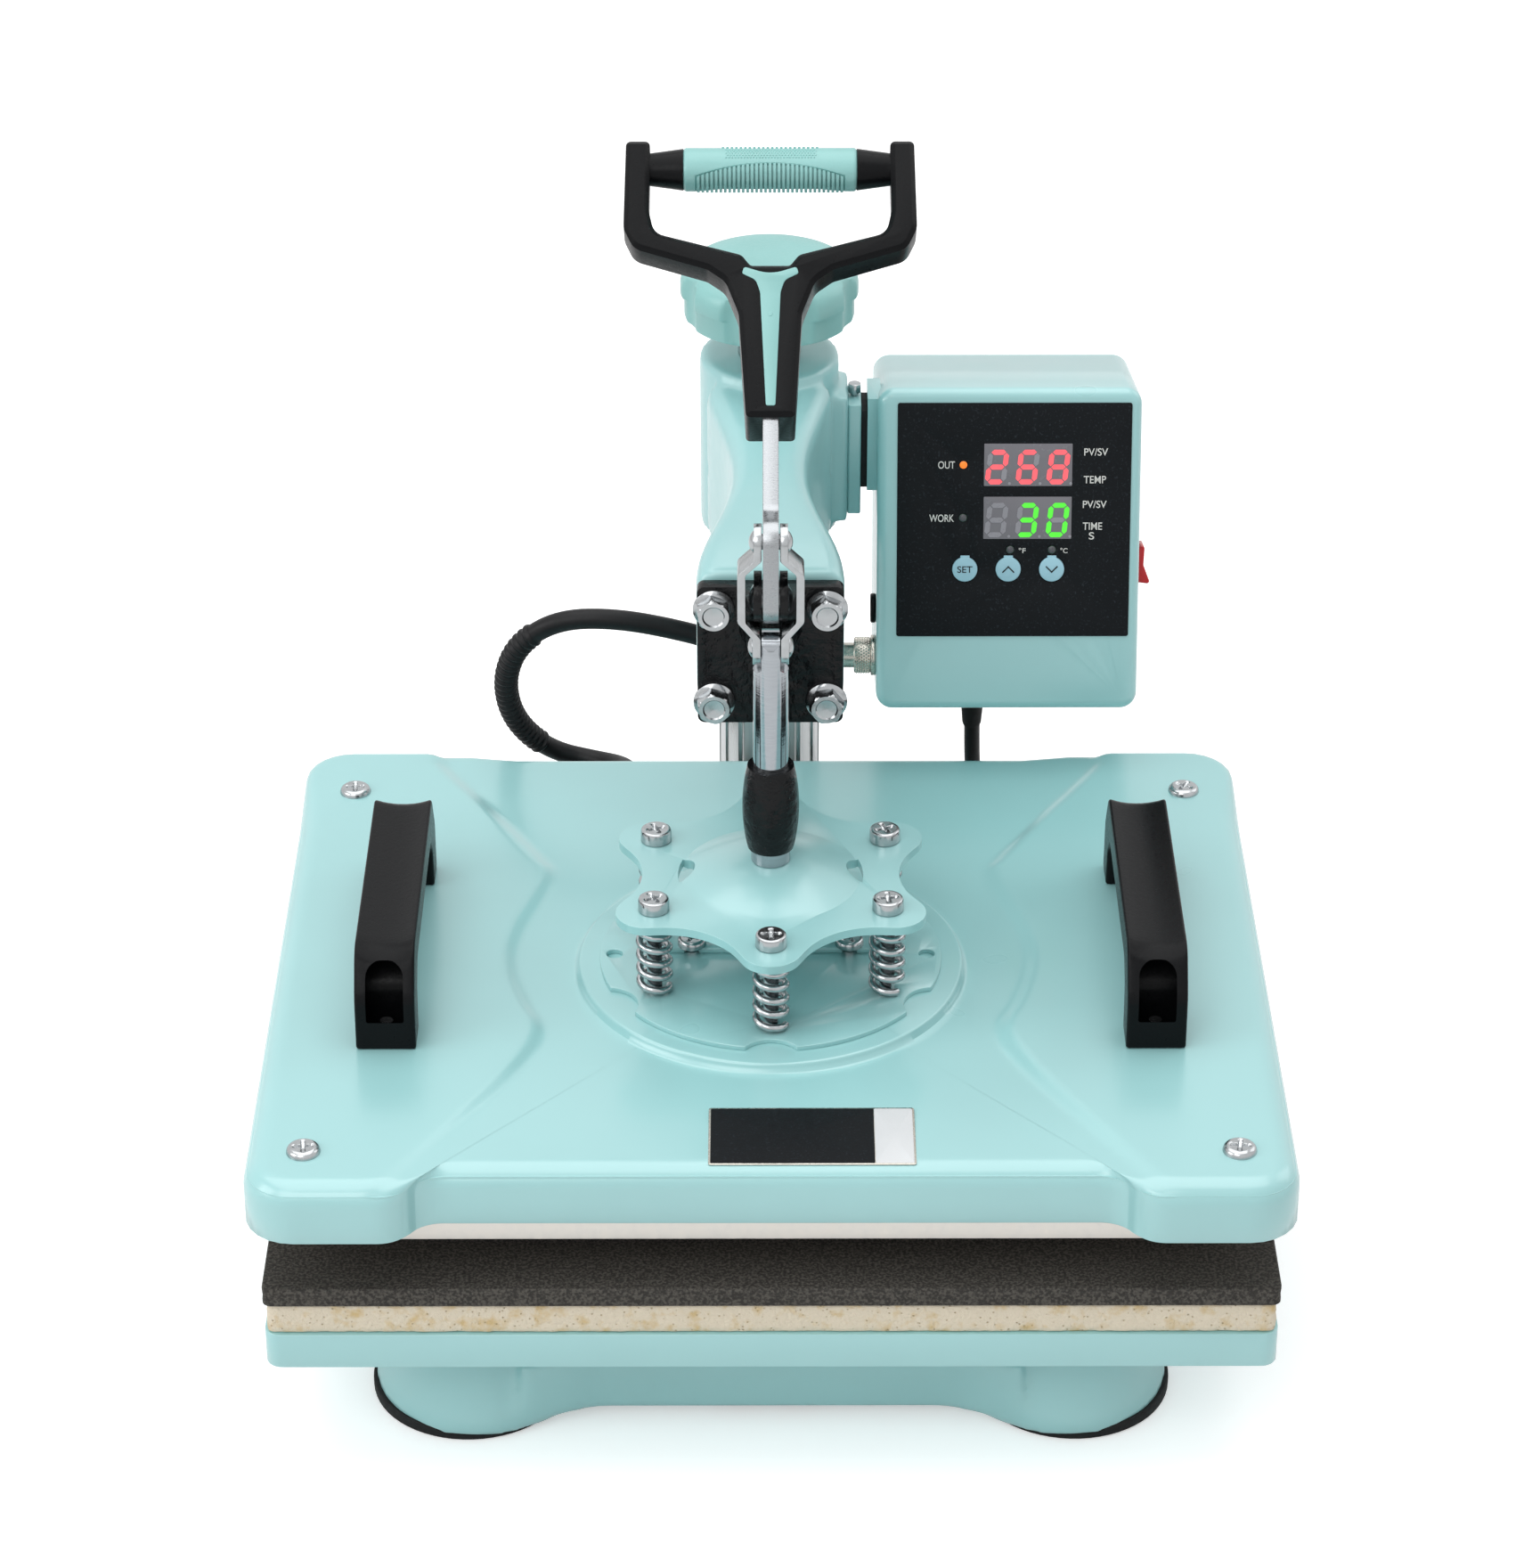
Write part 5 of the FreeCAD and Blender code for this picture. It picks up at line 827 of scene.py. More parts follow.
# The put-away coil: its middle, outer radius, two heights, first angle and last points
COIL_CENTRE = (0.0, 248.5)
COIL_RADIUS, COIL_LOW, COIL_TOP = 47.6, 3.4, 10.2
COIL_START = math.radians(74.61)
COIL_OUT = (-33.659, 282.159, 10.2)
COIL_END = (-53.458, 262.360, 10.2)


def turn_place(t):
    """Radius and height of the coil after t turns: two in, one up and over, two out on top."""
    low, top, pitch = COIL_LOW, COIL_TOP, 6.8
    if t <= 2:
        return COIL_RADIUS - pitch * t, low
    inner = 34.0 - 1.5 * math.sin(math.pi * (t - 2)) if t < 3 else 34.0
    if t <= 3:
        side = (COIL_RADIUS - pitch * (t - 1)) - inner
        return inner, min(top, low + math.sqrt(max(0.0, pitch * pitch - side * side)) * 1.02)
    # Radius after each share of the fourth turn, which climbs over the third
    steps = ((0.0, 34.0), (0.12, 36.8), (0.25, 38.5), (0.5, 39.1), (0.75, 39.8), (1.0, 40.8))
    rest = (t - 3) % 1.0 if t < 5 else 1.0
    grown_out = 0.0 if t < 4 else pitch
    for (a, ra), (b, rb) in zip(steps, steps[1:]):
        if rest <= b:
            return ra + (rb - ra) * (rest - a) / (b - a) + grown_out, top
    return COIL_RADIUS, top


def coil_points():
    """Control points of the turns, 16 to a turn, set out so that the smooth line has their radius."""
    points, turns, count = [], 5.1678, 16
    total = round(turns * count)
    for i in range(1, total):
        t = turns * i / total
        radius, height = turn_place(t)
        radius /= math.cos(math.pi / count)
        a = COIL_START + 2 * math.pi * t
        points.append((COIL_CENTRE[0] + radius * math.cos(a), COIL_CENTRE[1] + radius * math.sin(a), height))
    return points


def spline(name, points):
    """Smooth curve whose control points are the route's points, given in millimetres."""
    curve = bpy.data.curves.new(name, "CURVE")
    curve.dimensions = "3D"
    curve.resolution_u = 8
    line = curve.splines.new("NURBS")
    line.points.add(len(points) - 1)
    for target, point in zip(line.points, points):
        target.co = tuple(Vector(point) * MM) + (1.0,)
    line.order_u = 3
    line.use_endpoint_u = True
    return linked(name, curve)


def followed(piece):
    """Points along a curve with no bevel, which goes."""
    mesh = evaluated(piece)
    points = [v.co.copy() for v in mesh.vertices]
    bpy.data.meshes.remove(mesh)
    bpy.data.objects.remove(piece)
    return points


def lengths_of(points):
    """Distance along the points to each of them."""
    out = [0.0]
    for a, b in zip(points, points[1:]):
        out.append(out[-1] + (b - a).length)
    return out


def tube_along(name, points, radii, steps=20):
    """Closed tube along points, with a radius at each."""
    rings, side = [], None
    for i, point in enumerate(points):
        way = (points[min(i + 1, len(points) - 1)] - points[max(i - 1, 0)]).normalized()
        side = side or way.orthogonal().normalized()
        side = (side - way * side.dot(way)).normalized()
        up = way.cross(side)
        rings.append([point + (side * math.cos(a) + up * math.sin(a)) * radii[i]
                      for a in (2 * math.pi * k / steps for k in range(steps))])
    return ringed(name, rings)


def waved(name, path, start, end, pitch, low, high):
    """Corrugated tube over part of a path."""
    lengths = lengths_of(path)
    points, radii, k, at_length = [], [], 0, start
    while at_length < end:
        while lengths[k + 1] < at_length:
            k += 1
        points.append(path[k].lerp(path[k + 1], (at_length - lengths[k]) / (lengths[k + 1] - lengths[k])))
        wave = 0.5 - 0.5 * math.cos(2 * math.pi * (at_length - start) / pitch)
        radii.append(low + (high - low) * wave)
        at_length += pitch / 8
    return tube_along(name, points, radii)


class PRESS_OT_platen_cable(bpy.types.Operator):
    """Cable from the control box to the upper platen, with its corrugated sleeve"""
    bl_idname = "press.platen_cable"
    bl_label = "Platen cable"

    def execute(self, context):
        radius = context.scene.press_cords.cable / 2
        path = followed(spline("platen_cable_route", CABLE_ROUTE))
        length = lengths_of(path)[-1]
        cable = dress(tube_along("platen_flex", path, [radius] * len(path)), None, "cable_black",
                      ["platen_cable"], 50.0)
        sleeve = waved("cable_corrugation", path, 0.125, 0.205, 0.0032, radius + 0.0001, radius + 0.0009)
        dress(sleeve, None, "cable_black", (), 70.0)
        for piece in (cable, sleeve):
            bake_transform(piece)
        tuple(Vector(CABLE_ROUTE[0]) * MM)
        [tuple(p) for p in path]
        return {"FINISHED"}


class PRESS_OT_mains_lead(bpy.types.Operator):
    """Mains lead with its strain reliefs, put-away coil and plug"""
    bl_idname = "press.mains_lead"
    bl_label = "Mains lead"

    def execute(self, context):
        radius = context.scene.press_cords.lead / 2
        start = (COIL_CENTRE[0] + COIL_RADIUS * math.cos(COIL_START),
                 COIL_CENTRE[1] + COIL_RADIUS * math.sin(COIL_START), COIL_LOW)
        route = LEAD_ROUTE + [start] + coil_points() + [COIL_OUT, COIL_END]
        path = followed(spline("mains_lead_route", route))
        length = lengths_of(path)[-1]
        lead = dress(tube_along("mains_lead", path, [radius] * len(path), 16), None, "cable_black",
                     ["mains_cord", "mains_coil"], 50.0)
        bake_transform(lead)
        # Distance below the box and width past the lead, of each ring of the strain relief
        relief = ringed("lead_relief", [circle(radius + wide, -low, 40) for low, wide in (
            (0.0, 0.0036), (0.00156, 0.0036), (0.0026, 0.0024), (0.02444, 0.0007), (0.026, 0.0002))])
        at(relief, Matrix.Translation((0.088, 0.160, 0.1514)))
        dress(relief, "arm", "rubber_black", (), 30.0)
        plug = dress(softened("mains_plug_body", "mains_plug", 0.0012, 3), "base", "cable_black",
                     ["mains_plug"], 40.0)
        tuple(Vector(LEAD_ROUTE[0]) * MM)
        [tuple(p) for p in path]
        return {"FINISHED"}


class PRESS_OT_base(bpy.types.Operator):
    """Base casting, feet and lower platen"""
    bl_idname = "press.base"
    bl_label = "Base"

    def execute(self, context):
        fillings = [(side * x, y, radius, 0.0015, 0.0062) for side in (-1, 1)
                    for x, y, radius in ((0.1145, -0.140, 0.0385), (0.095, 0.1765, 0.033))]
        body = cast("base_body", "base_casting", 0.002, 14, fillings)
        dress(body, "base", "mint_cast", ["base_casting"], 60.0)
        dress(softened("feet", "rubber_feet", 0.0008, 3), "base", "rubber_black", ["rubber_feet"])
        dress(softened("lower_plate", "lower_platen", 0.0006), "base", "mint_sheet", ["lower_platen"])
        return {"FINISHED"}


class PRESS_OT_pads(bpy.types.Operator):
    """Sponge and silicone sheets, with their cut edges"""
    bl_idname = "press.pads"
    bl_label = "Pads"

    def execute(self, context):
        settings = context.scene.press_pads
        half, front, back, round_ = 0.189, PADS_FRONT + 0.001, PADS_BACK - 0.001, 0.003
        divide = straights(rectangle(-half, half, front, back, round_), 0.0022)
        # How far each ring is drawn in, and its share of the sheet's height
        rings = []
        for inset, share in ((0.03, 0.0), (0.001, 0.0), (0.0, 0.07), (0.0, 0.22), (0.0, 0.38), (0.0, 0.55),
                             (0.0, 0.72), (0.0, 0.88), (0.0004, 0.97), (0.0012, 1.0), (0.03, 1.0)):
            ring = []
            points = outline(rectangle(-half + inset, half - inset, front + inset, back - inset,
                                       max(round_ - inset, 0.001)), 4, divide)
            for i, p in enumerate(points):
                way = points[(i + 1) % len(points)] - points[i - 1]
                side = Vector((way.y, -way.x)).normalized()
                place = Vector((p.x, p.y, 0.0685 + 0.0125 * share))
                wander = noise.noise(place * 420) * 0.7 + noise.noise(place * 90) * 0.6
                if inset < 0.01:
                    p = p + side * (wander * settings.torn - settings.torn * 0.5)
                ring.append(Vector((p.x, p.y, SPONGE_LOW + (SPONGE_HIGH - SPONGE_LOW) * share)))
            rings.append(ring)
        sponge = dress(ringed("sponge_sheet", rings), "base", "sponge", ["sponge_pad"], 60.0)

        half, front, back, edge = 0.19, PADS_FRONT, PADS_BACK, settings.edge
        low, high = SPONGE_HIGH, SILICONE_HIGH
        divide = straights(rectangle(-half, half, front, back, round_), 0.004)
        rings = []
        for inset, z in ((0.03, low), (edge, low), (0.0, low + edge), (0.0, 0.083), (0.0002, 0.085),
                         (0.0, 0.087), (0.0, high - edge), (edge, high), (0.006, high), (0.03, high)):
            ring = []
            points = outline(rectangle(-half + inset, half - inset, front + inset, back - inset,
                                       max(round_ - inset, 0.001)), 4, divide)
            for p in points:
                wander = noise.noise(Vector((p.x, p.y, z)) * 30) * 0.00025
                ring.append(Vector((p.x, p.y, z + (wander if inset >= 0.006 and z > 0.085 else 0.0))))
            rings.append(ring)
        sheet = dress(ringed("silicone_sheet", rings), "base", "silicone", ["silicone_pad"], 40.0)
        return {"FINISHED"}


class PRESS_OT_arm(bpy.types.Operator):
    """Arm casting and pressure knob"""
    bl_idname = "press.arm"
    bl_label = "Arm"

    def execute(self, context):
        dress(cast("arm_body", "arm_casting", 0.0016, 6), "arm", "mint_cast", ["arm_casting"], 60.0)
        # Each notch is the arc of a circle of this radius, cut in from this far out, in millimetres
        steps, rings, notch_radius, notch_centre = 288, [], 9.0, 42.3
        # Radius and height of each ring, in millimetres
        levels = ((29.0, 326.5), (33.2, 326.5), (34.5, 327.1), (34.9, 328.4), (34.9, 336.2), (35.2, 336.7),
                  (36.1, 337.0), (36.5, 337.8), (36.5, 341.6), (36.0, 344.2), (34.6, 346.5), (32.3, 348.3),
                  (29.2, 349.6), (25.5, 350.4), (20.0, 350.8), (8.0, 351.0))
        for radius, z in levels:
            ring = []
            for p in circle(1.0, z, steps):
                a = math.atan2(p.y, p.x)
                off = a % (math.pi / 4) - math.pi / 8
                across = notch_centre * math.sin(off)
                notch = notch_centre * math.cos(off) - math.sqrt(max(0.0, notch_radius ** 2 - across ** 2))
                r = radius - math.log(1 + math.exp((radius - notch) * 2.5)) / 2.5
                ring.append(Vector((r * p.x, r * p.y, z)) * MM + Vector((0.0, COLUMN_Y, 0.0)))
            rings.append(ring)
        dress(ringed("knob", rings), "knob", "mint_plastic", ["pressure_knob"], 40.0)
        return {"FINISHED"}


class PRESS_OT_toggle(bpy.types.Operator):
    """Toggle base, links, pivot, lever plate and their bolts and rivets"""
    bl_idname = "press.toggle"
    bl_label = "Toggle"

    def execute(self, context):
        dress(softened("toggle_casting", "toggle_base", 0.0009, 3), "arm", "black_paint", ["toggle_base"],
              50.0)
        dress(softened("links_pair", "toggle_links", 0.0003), "links", "zinc", ["toggle_links"])
        dress(softened("link_pins", "link_rivets", 0.0004, 3), "links", "zinc", ["link_rivets"])
        dress(softened("pivot_rivet", "pivot_pin", 0.0004, 3), "arm", "zinc", ["pivot_pin"])
        dress(softened("lever_blank", "lever_plate", 0.0003), "lever", "steel", ["lever_plate"])
        head = hexagon_head(flange=0.00815, thick=0.0016, flats=0.012, height=0.0056)
        heads = screw_set("flange_bolt_heads", head, {"Across": 0.044, "Along": 0.041}, 1.0, 4)
        at(heads, Matrix.Translation((0.0, -0.009, 0.252)) @ Matrix.Rotation(math.pi / 2, 4, "X"))
        dress(heads, "arm", "zinc", ["flange_bolts"], 30.0)
        return {"FINISHED"}


# Ribbed fields of the grip: half length, arc at the ends, middle from the face and arc in the middle
GRIP_FIELDS = ((0.0287, 1.4, -1.4, 2.6), (0.0187, 1.5, 1.72, 1.6))


class PRESS_OT_lever(bpy.types.Operator):
    """Lever handle with its ribbed grip and inlay"""
    bl_idname = "press.lever"
    bl_label = "Lever"

    def execute(self, context):
        settings = context.scene.press_grip
        dress(softened("handle_yoke", "handle_frame", 0.0007, 3), "lever", "black_plastic",
              ["handle_frame"], 40.0)
        inlay = softened("inlay_strip", "handle_inlay", 0.0002)
        dress(inlay, "lever", "mint_plastic", ["handle_inlay"], 40.0)
        pin = ringed("inlay_pin", [circle(radius, z, 20) for radius, z in (
            (0.0009, 0.0), (0.0009, 0.0001), (0.0007, 0.00025))])
        at(pin, to_handle() @ Matrix.Translation((0.0, 0.098, 0.01328)))
        dress(pin, "lever", "mint_plastic")

        lift = to_handle() @ Matrix.Translation((0.0, 0.161, 0.005))
        r, half, parts, steps, chamfer = settings.radius, 0.0333, 134, 144, 0.0008
        rings = []
        for k in range(parts + 1):
            x = -half + 2 * half * k / parts
            end = min(half - abs(x), chamfer) - chamfer
            ring = []
            for i in range(steps):
                a = 2 * math.pi * i / steps - math.pi
                deep = 0.0
                for reach, ends, middle, arc in GRIP_FIELDS:
                    wide = ends + (arc - ends) * (1 - min(1.0, (x / reach) ** 2))
                    off = abs((a - middle + math.pi) % (2 * math.pi) - math.pi)
                    inside = min((wide / 2 - off) * r, reach - abs(x)) / 0.0006
                    deep = max(deep, min(1.0, max(0.0, inside)))
                size = r + end - 0.0009 * deep
                ring.append(Vector((x, size * math.sin(a), size * math.cos(a))))
            rings.append(ring)
        sleeve = at(ringed("grip_sleeve_body", rings), lift)
        dress(sleeve, "lever", "mint_plastic", ["grip_sleeve"], 40.0)

        def ribs(tree, given):
            position = add(tree, "GeometryNodeInputPosition").outputs[0]
            spot = add(tree, "ShaderNodeSeparateXYZ", links={0: position}).outputs
            value = {"x": spot[0], "y": spot[1], "z": spot[2]}
            value.update((key, given[key]) for key in sizes)
            for key, operation, *inputs in (
                    ("last", "SUBTRACT", "Ribs", 1.0), ("span", "MULTIPLY", "last", "Pitch"),
                    ("first", "MULTIPLY", "span", -0.5), ("wide", "MULTIPLY", "Pitch", 0.58),
                    # the turn about the sleeve, over an arc that narrows to the field's ends
                    ("share", "DIVIDE", "x", "span"), ("far", "ABSOLUTE", "share"),
                    ("square", "POWER", "far", 2.0), ("arc", "MULTIPLY_ADD", "square", "Narrowing", "Arc"),
                    ("turn", "MULTIPLY_ADD", "y", "arc", "Middle"),
                    # the radius, which falls off at both ends of a rib
                    ("along", "ABSOLUTE", "y"), ("fall", "POWER", "along", 4.0),
                    ("proud", "MULTIPLY_ADD", "fall", -9.0, 1.0), ("rise", "MULTIPLY", "proud", "Rise"),
                    ("high", "MULTIPLY_ADD", "z", 0.0014, "Radius"), ("radius", "ADD", "high", "rise"),
                    ("sine", "SINE", "turn"), ("cosine", "COSINE", "turn"),
                    ("up", "MULTIPLY", "sine", "radius"), ("out", "MULTIPLY", "cosine", "radius")):
                inputs = {i: value.get(name, name) for i, name in enumerate(inputs)}
                value[key] = add(tree, "ShaderNodeMath", {"operation": operation}, inputs).outputs[0]
            start = add(tree, "ShaderNodeCombineXYZ", links={0: value["first"]})
            step = add(tree, "ShaderNodeCombineXYZ", links={0: given["Pitch"]})
            line = add(tree, "GeometryNodeMeshLine", links={
                "Count": given["Ribs"], "Start Location": start.outputs[0], "Offset": step.outputs[0]})
            size = add(tree, "ShaderNodeCombineXYZ", links={0: value["wide"], 1: 1.0, 2: 1.0})
            bar = add(tree, "GeometryNodeMeshCube", links={
                "Size": size.outputs[0], "Vertices X": 2, "Vertices Y": 13, "Vertices Z": 2})
            rows = add(tree, "GeometryNodeInstanceOnPoints",
                       links={"Points": line.outputs[0], "Instance": bar.outputs[0]})
            real = add(tree, "GeometryNodeRealizeInstances", links={0: rows.outputs[0]})
            place = add(tree, "ShaderNodeCombineXYZ", links={0: spot[0], 1: value["up"], 2: value["out"]})
            return add(tree, "GeometryNodeSetPosition",
                       links={"Geometry": real.outputs[0], "Position": place.outputs[0]}).outputs[0]

        fields = []
        for name, (reach, ends, middle, arc) in zip(("front_ribs", "back_ribs"), GRIP_FIELDS):
            sizes = {"Ribs": round(2 * reach / settings.pitch), "Pitch": settings.pitch, "Radius": r - 0.0005,
                     "Rise": 0.0003, "Arc": arc - 0.03, "Middle": middle, "Narrowing": 4 * (ends - arc)}
            fields.append(grown(name, "mint_plastic", sizes, ribs))
        field = at(joined("grip_ribs", fields), lift)
        dress(tidied(field), "lever", "mint_plastic", (), 40.0)
        dots = []
        across, rows, pitch = 30, 5, 0.00116
        for i in range(across):
            for k in range(rows):
                a = 0.43 + 0.13 * (k - (rows - 1) / 2)
                x = (i - (across - 1) / 2) * pitch + (pitch / 2 if k % 2 else 0.0)
                dot = ringed("dot", [circle(0.0006, -0.0001, 4), circle(0.00016, 0.00035, 4)])
                place = Matrix.Translation((x, r * math.sin(a), r * math.cos(a)))
                dots.append(at(dot, place @ Matrix.Rotation(-a, 4, "X")))
        knurl = at(joined("grip_diamonds", dots), lift)
        dress(tidied(knurl), "lever", "mint_plastic", (), 20.0)
        return {"FINISHED"}


class PRESS_OT_plunger(bpy.types.Operator):
    """Spider with its dome, on the plunger rod"""
    bl_idname = "press.plunger"
    bl_label = "Plunger"

    def execute(self, context):
        dress(softened("spider", "spider_plate", 0.0007, 3), "plunger", "mint_sheet", ["spider_plate"], 15.0)
        return {"FINISHED"}


# Line of the pressed crease on the right of the cover, mirrored on the left
CREASE = [
    (0.1405, 0.120), (0.1385, 0.102), (0.1155, 0.063), (0.0945, 0.0265), (0.0896, 0.015), (0.0937, -0.004),
    (0.0995, -0.024), (0.1026, -0.043), (0.1015, -0.061), (0.096, -0.082), (0.0905, -0.096),
    (0.0905, -0.108), (0.096, -0.123), (0.107, -0.145), (0.1315, -0.187), (0.1465, -0.212),
]


def crease_line():
    """Smooth line through the crease's points."""
    points = [Vector(p) for p in CREASE]
    line = [points[0]]
    for i in range(1, len(points) - 2):
        a, b, c, d = points[i - 1:i + 3]
        for k in range(6):
            t = k / 6
            line.append(0.5 * (2 * b + (c - a) * t + (2 * a - 5 * b + 4 * c - d) * t * t
                               + (3 * b - a - 3 * c + d) * t ** 3))
    return line + points[-2:]


def outside_crease(line, x, y):
    """Distance outside the crease, negative in the middle panel."""
    here, best, sign = Vector((abs(x), y)), 1.0, 1.0
    for a, b in zip(line, line[1:]):
        run = b - a
        t = min(1.0, max(0.0, (here - a).dot(run) / run.length_squared))
        gap = (here - a - run * t).length
        if gap < best:
            best = gap
            sign = 1.0 if run.x * (here.y - a.y) - run.y * (here.x - a.x) > 0 else -1.0
    return best * sign


def cover_corners(inset):
    """Corners of the cover's plan, drawn in by inset; the middle of its front and back is recessed."""
    w, front, back = COVER_HALF - inset, COVER_FRONT + inset, COVER_BACK - inset
    round_ = max(0.019 - inset, 0.001)
    right = [(0.129 - inset, front + 0.013, 0.014), (0.139 - inset, front, 0.014), (w, front, round_),
             (w, back, round_), (0.128 - inset, back, 0.014), (0.108 - inset, back - 0.003, 0.014)]
    return right + [(-x, y, r) for x, y, r in reversed(right)]


class PRESS_OT_cover(bpy.types.Operator):
    """Pressed sheet cover with its creased panels, raised ring and bare label plate"""
    bl_idname = "press.cover"
    bl_label = "Platen cover"

    def execute(self, context):
        settings = context.scene.press_cover
        edge, line = settings.edge, crease_line()
        divide = straights(cover_corners(0.0), 0.0035)
        middle = Vector((0.0, PLUNGER_Y))
        outer = outline(cover_corners(0.0), 6, divide)
        inner = outline(cover_corners(edge), 6, divide)
        rounds = [edge * (1 - 0.55 * eased((p.y - 0.05) / 0.05)) for p in outer]
        border = [p.lerp(q, size / edge) for p, q, size in zip(outer, inner, rounds)]
        ways = [(p - middle).normalized() for p in border]
        rings = []
        # The raised ring under the disc, out to its foot
        for radius, z in ((0.03, 0.141), (0.0741, 0.141), (0.0749, 0.1408), (0.0753, 0.1404),
                          (0.0755, 0.1398)):
            rings.append([(middle + w * radius).to_3d() + Vector((0.0, 0.0, z)) for w in ways])
        # The creased panels, whose step grows weaker towards the front
        parts, ring_foot = 80, 0.0765
        for k in range(parts + 1):
            ring = []
            for w, p in zip(ways, border):
                q = (middle + w * ring_foot).lerp(p, k / parts)
                step = settings.step * (0.4 + 0.6 * eased((q.y + 0.205) / 0.09))
                z = COVER_TOP - step * (1 - eased(outside_crease(line, q.x, q.y) / settings.crease + 0.5))
                z += 0.0004 if k == 0 else 0.0
                ring.append(Vector((q.x, q.y, z)))
            rings.append(ring)
        # The rounded edge, and the skirt with its wall turned in
        heights = [v.z for v in rings[-1]]
        bends = 7
        for k in range(1, bends + 1):
            a = math.pi / 2 * k / bends
            ring = []
            for p, q, size, z in zip(outer, inner, rounds, heights):
                p = p.lerp(q, size / edge * (1 - math.sin(a)))
                ring.append(Vector((p.x, p.y, COVER_TOP - size + (z - COVER_TOP + size) * math.cos(a))))
            rings.append(ring)
        for inset, z in ((0.0, 0.126), (0.0, 0.1165), (0.0005, 0.116), (settings.wall, 0.116),
                         (settings.wall, 0.128), (settings.wall, 0.1362)):
            rings.append([Vector((p.x, p.y, z)) for p in outline(cover_corners(inset), 6, divide)])
        dress(ringed("cover_pressing", rings), "upper_platen", "mint_sheet", ["platen_cover"], 50.0)

        # The bare label plate: from x, to x, rim, thickness, corner and edge of each layer
        x, y, z = 0.015, -0.174, 0.1386
        for name, x0, x1, half, low, high, corner, edge, look in (
                ("label_foil", -0.0385, 0.0385, 0.0185, -0.0001, 0.0003, 0.001, 0.0002, "nickel"),
                ("label_dark_field", -0.0377, 0.0232, 0.0177, 0.0, 0.00042, 0.0006, 0.0001, "plate_black"),
                ("label_pale_field", 0.0234, 0.0377, 0.0177, 0.0, 0.00042, 0.0006, 0.0001, "plate_white")):
            layer = slab(name, x + x0, x + x1, y - half, y + half, z + low, z + high, corner, edge)
            dress(layer, "upper_platen", look)
        return {"FINISHED"}


def carry_handle(x):
    """One side handle: an arch with a hollow top and an arched pocket in each end."""
    front, back, low, top = PLUNGER_Y - 0.064, PLUNGER_Y + 0.072, COVER_TOP, 0.179
    leg, under, half, edge, lean = 0.016, 0.166, 0.0115, 0.0012, 0.012
    foot, bend, scoop, scoop_edge = 0.0014, 0.012, 0.0022, 0.006
    side = outline([
        (front, low, foot), (front + leg, low, foot), (front + leg + 0.002, under - 0.008, 0.008),
        (front + leg + 0.01, under, 0.006), (back - leg - 0.01, under, 0.006),
        (back - leg - 0.002, under - 0.008, 0.008), (back - leg, low, foot), (back, low, foot),
        (back - 0.001, low + 0.022, bend), (back - lean, top, bend / 2), (front + lean, top, bend),
        (front + 0.001, low + 0.022, bend)], 6, (1, 1, 1, 1, 1, 1, 1, 3, 4, 24, 4, 3))
    count = len(side)
    ways = []
    for i in range(count):
        run = side[(i + 1) % count] - side[i - 1]
        ways.append(Vector((run.y, -run.x)).normalized())
    # Sections across the handle: place from its middle, and how far its rounded edge draws in
    stations = [(-half + edge * (1 - math.sin(a)), edge * (1 - math.cos(a)))
                for a in (math.pi / 2 * (1 - k / 5) for k in range(5))]
    stations += [((half - edge) * (k / 5 - 1), 0.0) for k in range(11)]
    stations += [(-across, inset) for across, inset in reversed(stations[:5])]
    verts = []
    for across, inset in stations:
        for p, way in zip(side, ways):
            q = p - way * inset
            hollow = scoop * max(0.0, 1 - (across / (half - edge / 2)) ** 2)
            verts.append((x + across, q.x, q.y - hollow * eased((p.y - top + scoop_edge) / scoop_edge)))
    faces = quads(len(stations), count)
    for ring in (range(count), range(len(verts) - count, len(verts))):
        caps = tessellate_polygon([[Vector(verts[k]) for k in ring]])
        faces += [tuple(ring[i] for i in cap) for cap in caps]
    handle = tidied(new_piece("handle", verts, faces))
    for y0, y1, shear in ((front - 0.016, front + 0.006, 0.5), (back - 0.006, back + 0.016, -0.5)):
        wide, arch = 0.0072, 0.0055
        mouth = outline([(x - wide, low + 0.012, 0.001), (x + wide, low + 0.012, 0.001),
                         (x + wide, top - 0.0045, arch), (x - wide, top - 0.0045, arch)])
        pocket = ringed("pocket", [[Vector((p.x, y + shear * (p.y - low), p.y)) for p in mouth]
                                   for y in (y0, y1)])
        hole = handle.modifiers.new("hole", "BOOLEAN")
        hole.operation = "DIFFERENCE"
        hole.object = pocket
        baked(handle)
        bpy.data.objects.remove(pocket)
    return handle


